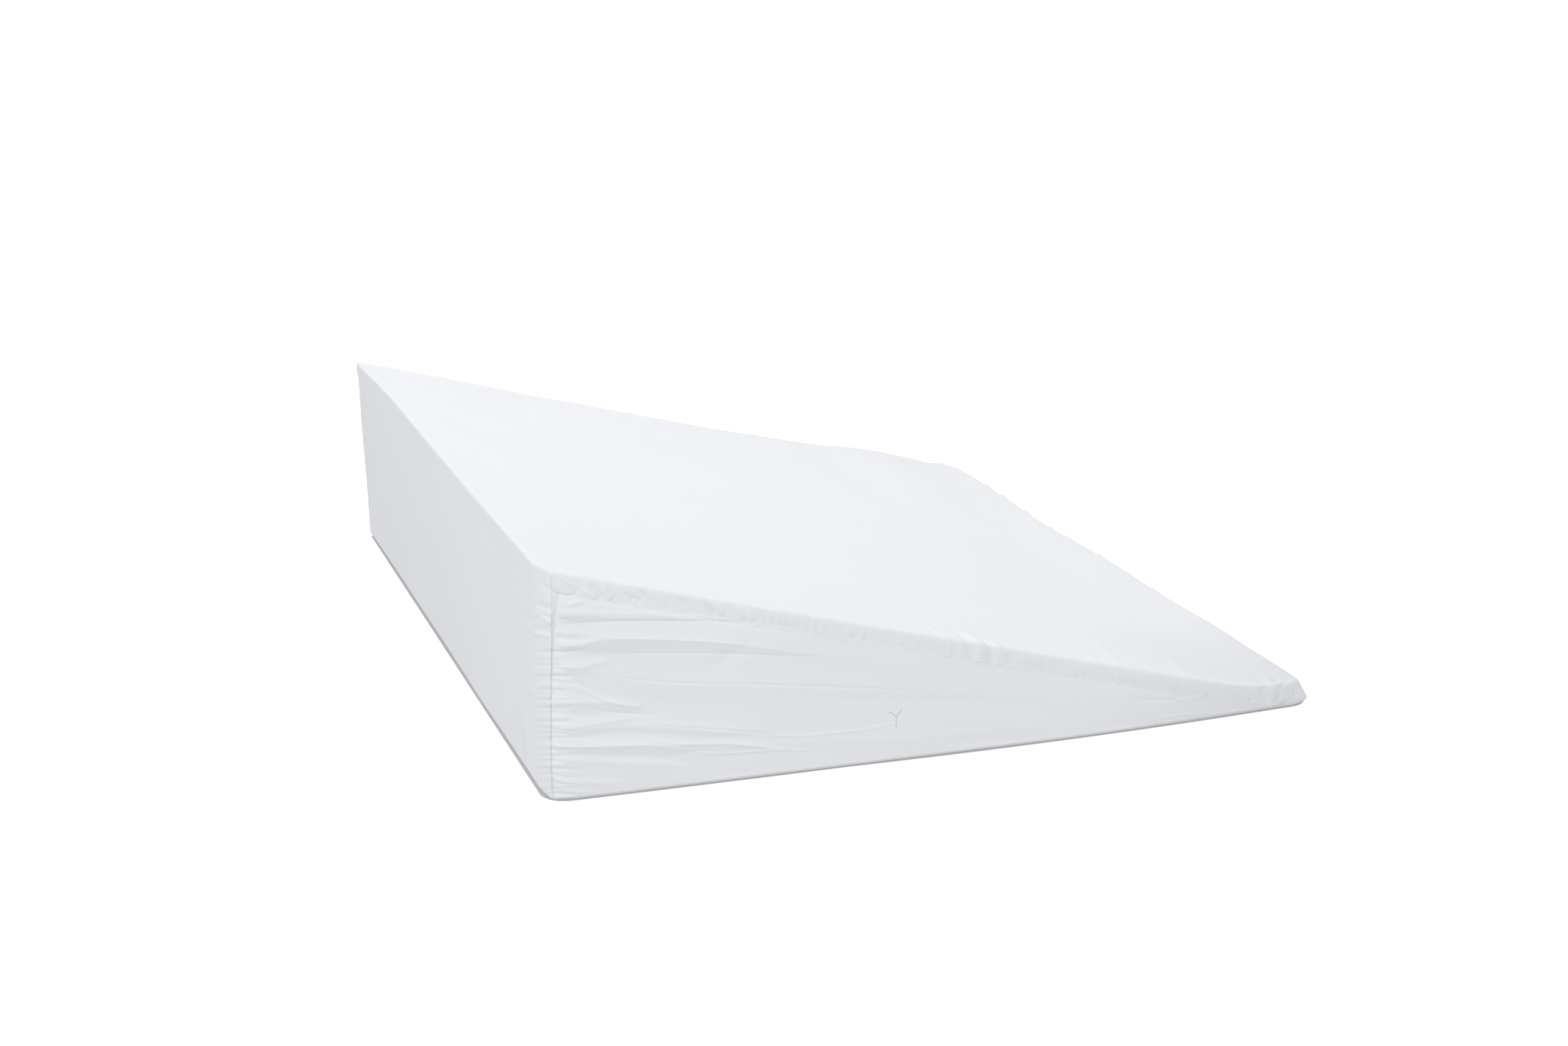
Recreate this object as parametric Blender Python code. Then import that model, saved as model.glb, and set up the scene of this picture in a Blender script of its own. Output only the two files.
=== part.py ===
"""Foam wedge pillow in a plain woven cotton cover, lying on its flat underside.

The cover is cut from three pieces. One long wrap panel runs from the underside up the
tall back, down the slope and round the thin front edge. A three-cornered panel closes
each side. The side panels are smaller than the foam's own sides, so the wrap panel turns
over every edge before it meets the seam. The wrap panel and what fills it are one solid,
with a shallow seat in each side. Each side panel is a thin sheet in its seat, raised into
the folds that pull across it from the tall back.

Frame: +X runs from the tall back to the thin front edge, +Y from the near side to the far
side and +Z up. The origin is at the middle of the underside. All sizes are in metres.
"""

import math

import bmesh
import bpy
import numpy as np
from mathutils import Matrix, Vector

# Driving dimensions of the wedge
WIDTH = 0.695            # between the two sides, at their drawn-in corners
LENGTH = 0.577           # from the tall back to the thin front edge, along the underside
HEIGHT = 0.160           # the tall back
SLOPE_RUN = 0.603        # length at which the slope would reach the ground
FRONT_HEIGHT = 0.019     # the padded front edge
FRONT_BLEND = 0.003      # how softly the slope runs out into the front edge

# How the soft body departs from the plain wedge
TOP_CROWN = 0.003        # the slope stands higher in its middle
FAR_LIFT = 0.004         # the tall back is a little higher at its far end
FAR_SWELL = (0.494, 0.048, 0.0090)  # the slope swells there before the front: x, spread, rise
FAR_FRONT_EXTRA = 0.003  # the front edge is plumper at its far end
FRONT_BOW = 0.002        # the front edge stands out in its middle
FRONT_SKEW = 0.004       # the front edge runs out longer at its far end, shorter at its near end
BACK_CROWN = 0.003       # the tall back stands out in its middle
SIDE_BOW = 0.005         # each side stands out between its corners

# Roundings of the wrap panel where it turns onto a side: how far each face is drawn in
# at the side, and how far in from the side the drawing-in begins
TURN = {
    "top": (0.0085, 0.011),
    "back_top": (0.0068, 0.024),
    "back_bottom": (0.0026, 0.020),
    "bottom": (0.0018, 0.006),
    "front": (0.011, 0.016),
}
FAR_BACK_SHARE = 0.5     # the far back corner is drawn in this much of the near one
TURN_STATIONS = (0.0, 0.0006, 0.0022, 0.0048, 0.0082, 0.0125, 0.018, 0.024)
MIDDLE_STATIONS = 14

# Corner radii of the wrap panel's cross section
BACK_BOTTOM_RADIUS = 0.005
FRONT_BOTTOM_RADIUS = 0.008
FRONT_TOP_RADIUS = 0.010
BACK_TOP_RADIUS = 0.009
SIDE_RADIUS_SHARE = 0.6  # share of these radii that is left at a side

# Seams of a side panel
SEAM_BELOW_TOP = 0.0128      # the sloping seam below the slope
SEAM_ABOVE_GROUND = 0.0025   # the seam along the underside
SEAM_FROM_BACK = 0.0044      # the upright seam at its foot
SEAM_LEAN = 0.0073           # and how much further in it is at its top
SEAM_TIP = 0.552             # where the sloping seam meets the lower one
SEAM_TIP_TAPER = 0.024       # the length over which it comes down there
SEAM_TOP = 0.143             # height of the corner where the two upper seams meet

# The side panels' sheet
SHEET_FRONT = 0.0004     # its edge lies this far inside the wrap panel's side
SHEET_BACK = 0.0019      # its inner face
SEAT_FLOOR = 0.0024      # the seat's floor
GAP = 0.00035            # around the sheet
TIP_DRAW = 5.0           # gaps by which its tip is drawn back
SHEET_FULLNESS = 0.0012  # how far the sheet swells out past its own edge
FULLNESS_REACH = 0.012   # within this distance of the seams

# Steps along each edge of a side panel and, to match, round the cross section
STEPS = 26
FRONT_STEPS = 8
ARC_STEPS = 3

HALF = WIDTH / 2

# Folds of each side panel. They start at the upright seam and run forward and down.
# start and end are (x, z); spread is the half width of the ridge and rise its height.
NEAR_FOLDS = [
    {"start": (0.004, 0.1290), "end": (0.150, 0.1100), "spread": 0.0075, "rise": 0.0022},
    {"start": (0.004, 0.1080), "end": (0.225, 0.0760), "spread": 0.0100, "rise": 0.0034},
    {"start": (0.006, 0.0880), "end": (0.370, 0.0290), "spread": 0.0085, "rise": 0.0014},
    {"start": (0.004, 0.0700), "end": (0.175, 0.0290), "spread": 0.0080, "rise": 0.0022},
    {"start": (0.006, 0.0500), "end": (0.260, 0.0100), "spread": 0.0085, "rise": 0.0024},
    {"start": (0.004, 0.0300), "end": (0.120, 0.0080), "spread": 0.0070, "rise": 0.0018},
]
FAR_FOLDS = [
    {"start": (0.004, 0.1240), "end": (0.190, 0.0960), "spread": 0.0090, "rise": 0.0026},
    {"start": (0.005, 0.0960), "end": (0.130, 0.0780), "spread": 0.0075, "rise": 0.0018},
    {"start": (0.005, 0.0760), "end": (0.330, 0.0270), "spread": 0.0100, "rise": 0.0030},
    {"start": (0.004, 0.0480), "end": (0.150, 0.0240), "spread": 0.0080, "rise": 0.0022},
    {"start": (0.006, 0.0250), "end": (0.200, 0.0060), "spread": 0.0070, "rise": 0.0015},
]
FOLD_UNDERCUT = 0.5      # the lower flank of a fold is this share as wide as its upper flank
FOLD_RUN_IN = 0.10       # share of a fold's length over which it rises out of the seam

COVER_WHITE = (0.86, 0.87, 0.89, 1.0)
SIDE_WHITE = (0.83, 0.84, 0.86, 1.0)


def smooth_step(t):
    """0 below 0, 1 above 1, and 3t^2 - 2t^3 between."""
    t = min(max(t, 0.0), 1.0)
    return t * t * (3.0 - 2.0 * t)


def top_height(x, y):
    """Height of the slope: a tilted plane with its crown, run out softly into the front edge."""
    far = smooth_step(y / HALF)
    crown = TOP_CROWN * (1.0 - (y / HALF) ** 2) * math.sin(math.pi * min(max(x / LENGTH, 0.0), 1.0))
    middle, spread, rise = FAR_SWELL
    lift = FAR_LIFT * max(0.0, 1.0 - x / LENGTH) ** 3 + rise * math.exp(-((x - middle) / spread) ** 2)
    plane = HEIGHT * (1.0 - x / SLOPE_RUN) + crown + lift * far
    front = FRONT_HEIGHT + FAR_FRONT_EXTRA * far
    return front + FRONT_BLEND * math.log1p(math.exp((plane - front) / FRONT_BLEND))


def chord_height(x):
    """Height of the straight line from the top of the back to the top of the front edge."""
    return HEIGHT + (FRONT_HEIGHT - HEIGHT) * x / LENGTH


def drawn_in(name, inward, share=1.0):
    """How far a face is drawn in at a distance from the side: a quarter of an ellipse."""
    depth, reach = (share * size for size in TURN[name])
    if inward >= reach:
        return 0.0
    return depth * (1.0 - math.sqrt(1.0 - (1.0 - inward / reach) ** 2))


def corner_arc(corner, before, after, radius):
    """The points of a rounded corner, ARC_STEPS to its middle and ARC_STEPS beyond."""
    corner = np.array(corner)
    incoming = corner - np.array(before)
    incoming /= np.linalg.norm(incoming)
    outgoing = np.array(after) - corner
    outgoing /= np.linalg.norm(outgoing)
    turn = math.acos(float(incoming @ outgoing))
    tangent = radius * math.tan(turn / 2)
    inward = (outgoing - incoming) / np.linalg.norm(outgoing - incoming)
    centre = corner + inward * radius / math.cos(turn / 2)
    first = corner - incoming * tangent - centre
    last = corner + outgoing * tangent - centre
    points = []
    for step in range(2 * ARC_STEPS + 1):
        share = step / (2 * ARC_STEPS)
        weights = (math.sin((1 - share) * turn), math.sin(share * turn))
        points.append(centre + (first * weights[0] + last * weights[1]) / math.sin(turn))
    return points


def between(start, end, steps):
    """The points strictly between two points, evenly spaced."""
    return [start + (end - start) * k / steps for k in range(1, steps)]


def cross_section(y, inward):
    """The wrap panel's outline in the X-Z plane: underside, front edge, slope, then back."""
    low = drawn_in("bottom", inward)
    front = LENGTH - drawn_in("front", inward)
    top = drawn_in("top", inward)
    share = FAR_BACK_SHARE if y > 0 else 1.0
    corners = [
        (drawn_in("back_bottom", inward, share), low),
        (front, low),
        (front, chord_height(front) - top),
        (drawn_in("back_top", inward, share), HEIGHT - top),
    ]
    shrink = SIDE_RADIUS_SHARE + (1 - SIDE_RADIUS_SHARE) * smooth_step(inward / TURN["front"][1])
    radii = [BACK_BOTTOM_RADIUS, FRONT_BOTTOM_RADIUS, FRONT_TOP_RADIUS, BACK_TOP_RADIUS]
    arcs = [corner_arc(corners[k], corners[k - 1], corners[(k + 1) % 4], radii[k] * shrink)
            for k in range(4)]
    outline = []
    for k, steps in enumerate((STEPS, FRONT_STEPS, STEPS, STEPS)):
        here, there = arcs[k], arcs[(k + 1) % 4]
        outline += here[ARC_STEPS:]
        outline += between(here[-1], there[0], steps - 2 * ARC_STEPS)
        outline += there[:ARC_STEPS]
    return [(x, z * top_height(x, y) / chord_height(x)) for x, z in outline]


def soften(x, y, z):
    """A point of the plain wedge, moved to where the soft body has it."""
    along = min(max(x / LENGTH, 0.0), 1.0)
    bow = SIDE_BOW * 4.0 * along * (1.0 - along)
    middle = 1.0 - (y / HALF) ** 2
    back = BACK_CROWN * middle * (1.0 - along) ** 6 * math.sin(math.pi * min(max(z / HEIGHT, 0.0), 1.0))
    front = (FRONT_SKEW * y / HALF + FRONT_BOW * middle) * along ** 3
    return (x - back + front, y * (1.0 + bow / HALF), z)


def sloping_seam(x, y_side):
    """Height of the seam under the slope. It comes down to the lower seam at the tip."""
    full = top_height(x, y_side) - SEAM_BELOW_TOP - SEAM_ABOVE_GROUND
    return SEAM_ABOVE_GROUND + full * min(1.0, (SEAM_TIP - x) / SEAM_TIP_TAPER)


def upright_seam(z):
    """Distance of the upright seam from the back: it leans forward near its top."""
    return SEAM_FROM_BACK + SEAM_LEAN * (z / SEAM_TOP) ** 3


def panel_grid(y_side, gap):
    """Columns of (x, z) points over a side panel, one point fewer in each towards the tip.

    A gap draws the outline in all round. The narrow tip is drawn back further, to keep
    clear of both the seams that meet there.
    """
    low = SEAM_ABOVE_GROUND + gap
    columns = []
    for i in range(STEPS + 1):
        share = i / STEPS
        drawn = gap * (1 - share) - TIP_DRAW * gap * share
        seam_x = upright_seam(SEAM_TOP) * (1 - share) + SEAM_TIP * share
        high = max(low, sloping_seam(seam_x, y_side) - 1.1 * gap)
        rows = STEPS - i
        column = []
        for j in range(rows + 1):
            z = low + (high - low) * j / max(rows, 1)
            column.append((upright_seam(z) * (1 - share) + SEAM_TIP * share + drawn, z))
        columns.append(column)
    return columns


def grid_loop(columns):
    """The (column, row) addresses round a panel: lower seam, tip, sloping seam, upright seam."""
    lower = [(i, 0) for i in range(STEPS)]
    tip = [(STEPS, 0)]
    sloping = [(i, len(columns[i]) - 1) for i in range(STEPS - 1, -1, -1)]
    upright = [(0, j) for j in range(STEPS - 1, 0, -1)]
    return lower + tip + sloping + upright


def add_strips(mesh, loop):
    """Close a loop round a panel with upright strips from its lower to its sloping seam."""
    tip = STEPS
    upright = loop[tip + STEPS + 1:]
    mesh.faces.new([loop[0], loop[1], loop[2 * tip - 1], loop[2 * tip]] + upright)
    for i in range(1, STEPS - 1):
        mesh.faces.new([loop[i], loop[i + 1], loop[2 * tip - i - 1], loop[2 * tip - i]])
    mesh.faces.new([loop[tip - 1], loop[tip], loop[tip + 1]])


def bridge(mesh, first, second):
    """Quads between two closed loops of the same length."""
    count = len(first)
    for k in range(count):
        n = (k + 1) % count
        mesh.faces.new([first[k], first[n], second[n], second[k]])


def fold_relief(x, z, folds):
    """Height of the folds at a point: each a ridge with a wide upper and a tight lower flank."""
    height = 0.0
    for fold in folds:
        start = np.array(fold["start"])
        run = np.array(fold["end"]) - start
        length = float(np.linalg.norm(run))
        direction = run / length
        offset = np.array((x, z)) - start
        along = float(offset @ direction) / length
        across = float(direction[0] * offset[1] - direction[1] * offset[0])
        if not 0.0 < along < 1.0:
            continue
        flank = fold["spread"] * (1.0 if across > 0 else FOLD_UNDERCUT)
        envelope = smooth_step(along / FOLD_RUN_IN) * (1.0 - along) ** 0.8
        height += fold["rise"] * envelope * math.exp(-(across / flank) ** 2)
    return height


def seam_distance(x, z, y_side):
    """Distance from a point of a side panel to the nearest seam."""
    below = (sloping_seam(x, y_side) - z) / math.hypot(1.0, HEIGHT / SLOPE_RUN)
    return max(0.0, min(x - upright_seam(z), below, z - SEAM_ABOVE_GROUND))


def finish_mesh(name, mesh, colour, roughness):
    """Make the object of a bmesh, with its faces pointing out and its own material."""
    bmesh.ops.recalc_face_normals(mesh, faces=mesh.faces)
    data = bpy.data.meshes.new(name)
    mesh.to_mesh(data)
    mesh.free()
    data.shade_smooth()
    data.set_sharp_from_angle(angle=math.radians(40))
    item = bpy.data.objects.new(name, data)
    bpy.context.collection.objects.link(item)
    material = bpy.data.materials.new(name + "_cloth")
    material.use_nodes = True
    shader = material.node_tree.nodes["Principled BSDF"]
    shader.inputs["Base Color"].default_value = colour
    shader.inputs["Roughness"].default_value = roughness
    shader.inputs["Metallic"].default_value = 0.0
    data.materials.append(material)
    return item


def make_wrapped_body():
    """The wrap panel and its filling: cross sections joined across the width, a seat in each end."""
    mesh = bmesh.new()
    inner = HALF - TURN_STATIONS[-1]
    middles = [-inner + 2 * inner * k / MIDDLE_STATIONS for k in range(1, MIDDLE_STATIONS)]
    stations = [(-HALF + s, s) for s in TURN_STATIONS]
    stations += [(y, TURN_STATIONS[-1]) for y in middles]
    stations += [(HALF - s, s) for s in reversed(TURN_STATIONS)]
    rings = [[mesh.verts.new(soften(x, y, z)) for x, z in cross_section(y, inward)]
             for y, inward in stations]
    for first, second in zip(rings, rings[1:]):
        bridge(mesh, first, second)
    for side, ring in ((-1, rings[0]), (1, rings[-1])):
        columns = panel_grid(side * HALF, 0.0)
        addresses = grid_loop(columns)
        mouth = [mesh.verts.new(soften(columns[i][j][0], side * HALF, columns[i][j][1]))
                 for i, j in addresses]
        floor = [mesh.verts.new(vert.co - Vector((0, side * SEAT_FLOOR, 0))) for vert in mouth]
        join_side(mesh, ring, mouth)
        bridge(mesh, mouth, floor)
        add_strips(mesh, floor)
    return finish_mesh("wrapped_body", mesh, COVER_WHITE, 0.9)


def join_side(mesh, ring, mouth):
    """The flat margin on a side, from the end of the turn to the seat. The front edge fans to the tip."""
    count = len(ring)
    matched = [min(k, STEPS) if k <= STEPS + FRONT_STEPS else k - FRONT_STEPS for k in range(count)]
    for k in range(count):
        n = (k + 1) % count
        face = [ring[k], ring[n], mouth[matched[n]]]
        if matched[k] != matched[n]:
            face.append(mouth[matched[k]])
        mesh.faces.new(face)


def make_side_panel(name, side, folds):
    """One three-cornered sheet: folded outer face, plain inner face and a rim between them."""
    mesh = bmesh.new()
    columns = panel_grid(side * HALF, GAP)
    addresses = grid_loop(columns)
    front = []
    for column in columns:
        verts = []
        for x, z in column:
            point = soften(x, side * HALF, z)
            inside = smooth_step(seam_distance(x, z, side * HALF) / FULLNESS_REACH)
            out = (SHEET_FULLNESS + fold_relief(x, z, folds)) * inside - SHEET_FRONT
            verts.append(mesh.verts.new((point[0], point[1] + side * out, point[2])))
        front.append(verts)
    back = []
    for i, j in addresses:
        point = soften(columns[i][j][0], side * HALF, columns[i][j][1])
        back.append(mesh.verts.new((point[0], point[1] - side * SHEET_BACK, point[2])))
    for i in range(STEPS):
        for j in range(STEPS - i):
            mesh.faces.new([front[i][j], front[i + 1][j], front[i][j + 1]])
            if j < STEPS - i - 1:
                mesh.faces.new([front[i + 1][j], front[i + 1][j + 1], front[i][j + 1]])
    bridge(mesh, [front[i][j] for i, j in addresses], back)
    add_strips(mesh, back)
    return finish_mesh(name, mesh, SIDE_WHITE, 0.9)


def centre_on_origin(items):
    """Move every mesh so that the middle of the whole underside is the origin."""
    corners = np.array([vert.co[:] for item in items for vert in item.data.vertices])
    low, high = corners.min(axis=0), corners.max(axis=0)
    shift = Matrix.Translation((-(low[0] + high[0]) / 2, -(low[1] + high[1]) / 2, -low[2]))
    for item in items:
        item.data.transform(shift)


for old in list(bpy.data.objects):
    bpy.data.objects.remove(old, do_unlink=True)

centre_on_origin([
    make_wrapped_body(),
    make_side_panel("side_panel_near", -1, NEAR_FOLDS),
    make_side_panel("side_panel_far", 1, FAR_FOLDS),
])
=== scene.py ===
"""Looks of a foam wedge pillow in a white cotton cover.

The cover is made of three cloth pieces, each a surface worked out on a grid of two
parameters: the long wrap panel over the foam, and a three-cornered panel sewn into each
side. Every surface starts from the plain wedge that the frame holds, and is then moved by
fields in metres: the soft body's swellings, the folds that pull across the side panels from
the upright seam, the small puckers along every seam, and the short wrinkles that cross the
edges. The seams are real grooves, where both cloths roll inwards and meet.
"""

import math

import bpy
import numpy as np
from mathutils import Matrix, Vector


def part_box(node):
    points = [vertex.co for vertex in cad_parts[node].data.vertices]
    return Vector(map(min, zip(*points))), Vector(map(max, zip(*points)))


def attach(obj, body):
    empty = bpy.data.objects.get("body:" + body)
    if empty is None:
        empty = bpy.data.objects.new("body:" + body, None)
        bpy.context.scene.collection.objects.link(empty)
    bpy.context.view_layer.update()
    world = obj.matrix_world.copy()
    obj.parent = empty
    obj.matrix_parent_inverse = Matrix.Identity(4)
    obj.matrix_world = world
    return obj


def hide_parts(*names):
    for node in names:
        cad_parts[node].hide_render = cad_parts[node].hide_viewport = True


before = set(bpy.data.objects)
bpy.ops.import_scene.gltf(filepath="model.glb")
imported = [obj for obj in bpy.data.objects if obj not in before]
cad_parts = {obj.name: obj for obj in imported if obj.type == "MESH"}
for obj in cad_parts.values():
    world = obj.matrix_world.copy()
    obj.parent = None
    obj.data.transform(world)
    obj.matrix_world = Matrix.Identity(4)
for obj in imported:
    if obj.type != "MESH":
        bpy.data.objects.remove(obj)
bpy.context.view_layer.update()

body_low, body_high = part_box("wrapped_body")

# Sizes of the wedge, in metres, as the part has them
BACK_CROWN = 0.003
FRONT_SKEW = 0.004
FRONT_BOW = 0.002
SIDE_BOW = 0.005
TOP_CROWN = 0.003
WIDTH = 0.695
LENGTH = 0.577
HEIGHT = 0.160
SLOPE_RUN = 0.603
FRONT_HEIGHT = 0.019
FRONT_BLEND = 0.003
FAR_LIFT = 0.004
FAR_SWELL = (0.494, 0.048, 0.0090)
# More height in the soft body: along the far edge by x, and along the front edge by y
FAR_RISE = ((0.150, 0.0000), (0.210, 0.0010), (0.270, 0.0018), (0.330, 0.0024), (0.360, 0.0034), (0.390, 0.0045),
            (0.420, 0.0047), (0.450, 0.0033), (0.480, 0.0018), (0.510, 0.0026), (0.535, 0.0076),
            (0.558, 0.0112), (0.580, 0.0050))
FRONT_RISE = ((-0.340, 0.0000), (-0.290, 0.0010), (-0.240, 0.0016), (-0.190, 0.0020), (-0.140, 0.0012),
              (-0.090, 0.0021), (-0.040, 0.0033), (0.010, 0.0029), (0.060, 0.0022), (0.110, 0.0019),
              (0.160, 0.0046), (0.210, 0.0062), (0.260, 0.0075), (0.310, 0.0058), (0.340, 0.0024))
RISE_EASE = 0.022
HALF = WIDTH / 2
BACK_X = body_low[0] + BACK_CROWN

# How far each face is drawn in at a side, and how far in from the side that begins
TURN = {
    "top": (0.0085, 0.011),
    "back_top": (0.0075, 0.026),
    "back_bottom": (0.0026, 0.020),
    "bottom": (0.0018, 0.006),
    "front": (0.011, 0.016),
}
TURN_POWER = {"top": 6.0, "back_top": 1.25, "back_bottom": 1.6}
TURN_ROWS = 34
TURN_REACH = max(reach for depth, reach in TURN.values())
FAR_BACK_SHARE = 0.5
CORNER_RADII = (0.005, 0.008, 0.010, 0.0025)
SIDE_RADIUS_SHARE = 0.6

# Seams of the side panels
SEAM_BELOW_TOP = 0.0128
SEAM_ABOVE_GROUND = 0.0025
SEAM_FROM_BACK = 0.0044
SEAM_LEAN = 0.0073
SEAM_TIP = 0.552
SEAM_TIP_TAPER = 0.024
SEAM_TOP = 0.143
SEAM_DEPTH = 0.00007     # both cloths roll in this far at a seam
SEAM_ROLL = 0.0007       # and do so within about this distance of it
UPRIGHT_DEPTH = (0.00008, 0.0003)  # the upright seam is this much deeper, low and at its top
UPRIGHT_DEEP_ABOVE = 0.120
SHEET_THICK = 0.0012
SHEET_FULLNESS = 0.0005
WALL_DEPTH = 0.004       # the wrap's hidden edge goes in this far behind a side panel
FULLNESS_REACH = 0.010

SHARP_ANGLE = math.radians(72)

# Grid steps: round the section in the order underside, front, slope, back, and across
SECTION_STEPS = (50, 22, 430, 300)
SLOPE_CROWDING = 1.4     # the slope's points stand closer together towards the back
ARC_STEPS = 7
MIDDLE_ROWS = 150
PANEL_COLUMNS = 300
PANEL_ROWS = 315

# The photograph's frame and the camera that fits its corners
IMAGE_WIDTH = 2351
IMAGE_HEIGHT = 1568
FOCAL_PIXELS = 3424.5
SENSOR_MM = 36.0
CAMERA_PITCH = 0.2710    # radians below level
CAMERA_YAW = 0.3388      # radians from +Y towards +X
CAMERA_FROM_CORNER = (-0.3176, -1.3714, 0.5803)  # from the near bottom corner of the back

# Broad folds of the side panels, as (x, z) points in metres from the back and the ground.
# Each has a flat facet between its valley line and its crest line, at a slope, and falls
# away past the crest. A facet with the crest above faces down, one with it below up.
NEAR_FOLDS = [
    {"crest": ((0.0106, 0.1309), (0.0385, 0.1263), (0.0740, 0.1212), (0.1102, 0.1157), (0.1321, 0.1114)),
     "valley": ((0.0104, 0.1232), (0.0279, 0.1224), (0.0473, 0.1214), (0.0740, 0.1187), (0.1101, 0.1144),
                (0.1321, 0.1112)), "slope": 0.40, "past": 0.0130},
    {"crest": ((0.0091, 0.1200), (0.0230, 0.1175), (0.0354, 0.1123)),
     "valley": ((0.0090, 0.1153), (0.0229, 0.1124), (0.0354, 0.1118)), "slope": 0.26, "past": 0.0030},
    {"crest": ((0.0100, 0.1085), (0.0228, 0.1080), (0.0372, 0.1104)),
     "valley": ((0.0100, 0.1145), (0.0229, 0.1120), (0.0372, 0.1112)), "slope": 0.22, "past": 0.0030},
    {"crest": ((0.0130, 0.1088), (0.0240, 0.1077), (0.0373, 0.1109), (0.0595, 0.1085), (0.0846, 0.1050),
               (0.1100, 0.1009), (0.1376, 0.0950), (0.1655, 0.0876), (0.1844, 0.0823), (0.1967, 0.0798)),
     "valley": ((0.0098, 0.1035), (0.0256, 0.1018), (0.0433, 0.0994), (0.0647, 0.0973), (0.0917, 0.0943),
                (0.1191, 0.0908), (0.1468, 0.0869), (0.1749, 0.0826), (0.1967, 0.0797)),
     "slope": 0.28, "past": 0.0100},
    {"crest": ((0.0096, 0.0942), (0.0236, 0.0920), (0.0432, 0.0947)),
     "valley": ((0.0096, 0.0975), (0.0167, 0.0985), (0.0432, 0.0975)), "slope": 0.22, "past": 0.0030},
    {"crest": ((0.0131, 0.0951), (0.0201, 0.0912), (0.0376, 0.0855), (0.0643, 0.0787), (0.0914, 0.0737),
               (0.1468, 0.0661), (0.2228, 0.0544), (0.2754, 0.0451), (0.3600, 0.0300)),
     "valley": ((0.0131, 0.0850), (0.0376, 0.0720), (0.0914, 0.0580), (0.1468, 0.0540), (0.2228, 0.0460),
                (0.3600, 0.0290)), "slope": 0.085, "past": 0.0120},
    {"crest": ((0.0072, 0.0718), (0.0283, 0.0674), (0.0426, 0.0661), (0.0550, 0.0627), (0.0667, 0.0591)),
     "valley": ((0.0070, 0.0644), (0.0335, 0.0611), (0.0549, 0.0572), (0.0667, 0.0585)),
     "slope": 0.24, "past": 0.0050},
    {"crest": ((0.0049, 0.0515), (0.0191, 0.0512), (0.0369, 0.0524), (0.0522, 0.0529), (0.0639, 0.0530)),
     "valley": ((0.0050, 0.0575), (0.0281, 0.0575), (0.0495, 0.0565), (0.0639, 0.0533)),
     "slope": 0.20, "past": 0.0030},
    {"crest": ((0.0101, 0.0490), (0.0422, 0.0483), (0.0638, 0.0463), (0.0837, 0.0440), (0.1094, 0.0393),
               (0.1242, 0.0365), (0.1467, 0.0325), (0.1700, 0.0260)),
     "valley": ((0.0100, 0.0449), (0.0278, 0.0445), (0.0511, 0.0447), (0.0691, 0.0412), (0.0910, 0.0369),
                (0.1186, 0.0312), (0.1373, 0.0301), (0.1542, 0.0290), (0.1700, 0.0258)),
     "slope": 0.24, "past": 0.0060},
    {"crest": ((0.0063, 0.0399), (0.0276, 0.0372), (0.0545, 0.0348), (0.0763, 0.0328)),
     "valley": ((0.0064, 0.0430), (0.0277, 0.0435), (0.0456, 0.0425), (0.0600, 0.0400), (0.0763, 0.0332)),
     "slope": 0.16, "past": 0.0030},
    {"crest": ((0.0063, 0.0399), (0.0276, 0.0372), (0.0545, 0.0350), (0.0690, 0.0337), (0.0835, 0.0304),
               (0.0981, 0.0245)),
     "valley": ((0.0062, 0.0338), (0.0364, 0.0295), (0.0634, 0.0258), (0.0834, 0.0217), (0.0981, 0.0235)),
     "slope": 0.24, "past": 0.0040},
    {"crest": ((0.0726, 0.0308), (0.0909, 0.0304), (0.1093, 0.0282), (0.1372, 0.0235), (0.1579, 0.0185)),
     "valley": ((0.0726, 0.0305), (0.0982, 0.0232), (0.1204, 0.0194), (0.1466, 0.0175), (0.1579, 0.0180)),
     "slope": 0.18, "past": 0.0050},
    {"crest": ((0.0061, 0.0307), (0.0274, 0.0270), (0.0543, 0.0220), (0.0834, 0.0170), (0.0981, 0.0142),
               (0.1119, 0.0086)),
     "valley": ((0.0062, 0.0340), (0.0364, 0.0292), (0.0634, 0.0247), (0.0834, 0.0199), (0.0981, 0.0151),
                (0.1119, 0.0087)), "slope": 0.30, "past": 0.0090},
    {"crest": ((0.0056, 0.0148), (0.0360, 0.0102), (0.0594, 0.0080)),
     "valley": ((0.0057, 0.0182), (0.0271, 0.0142), (0.0595, 0.0085)), "slope": 0.26, "past": 0.0040},
    {"crest": ((0.0055, 0.0085), (0.0179, 0.0057), (0.0394, 0.0030)),
     "valley": ((0.0055, 0.0107), (0.0179, 0.0080), (0.0394, 0.0036)), "slope": 0.24, "past": 0.0030},
    {"crest": ((0.1050, 0.0300), (0.1466, 0.0226), (0.2038, 0.0173), (0.2760, 0.0132), (0.3600, 0.0110)),
     "valley": ((0.1050, 0.0290), (0.1466, 0.0180), (0.2038, 0.0105), (0.2760, 0.0075), (0.3600, 0.0090)),
     "slope": 0.07, "past": 0.0050},
]
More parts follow.
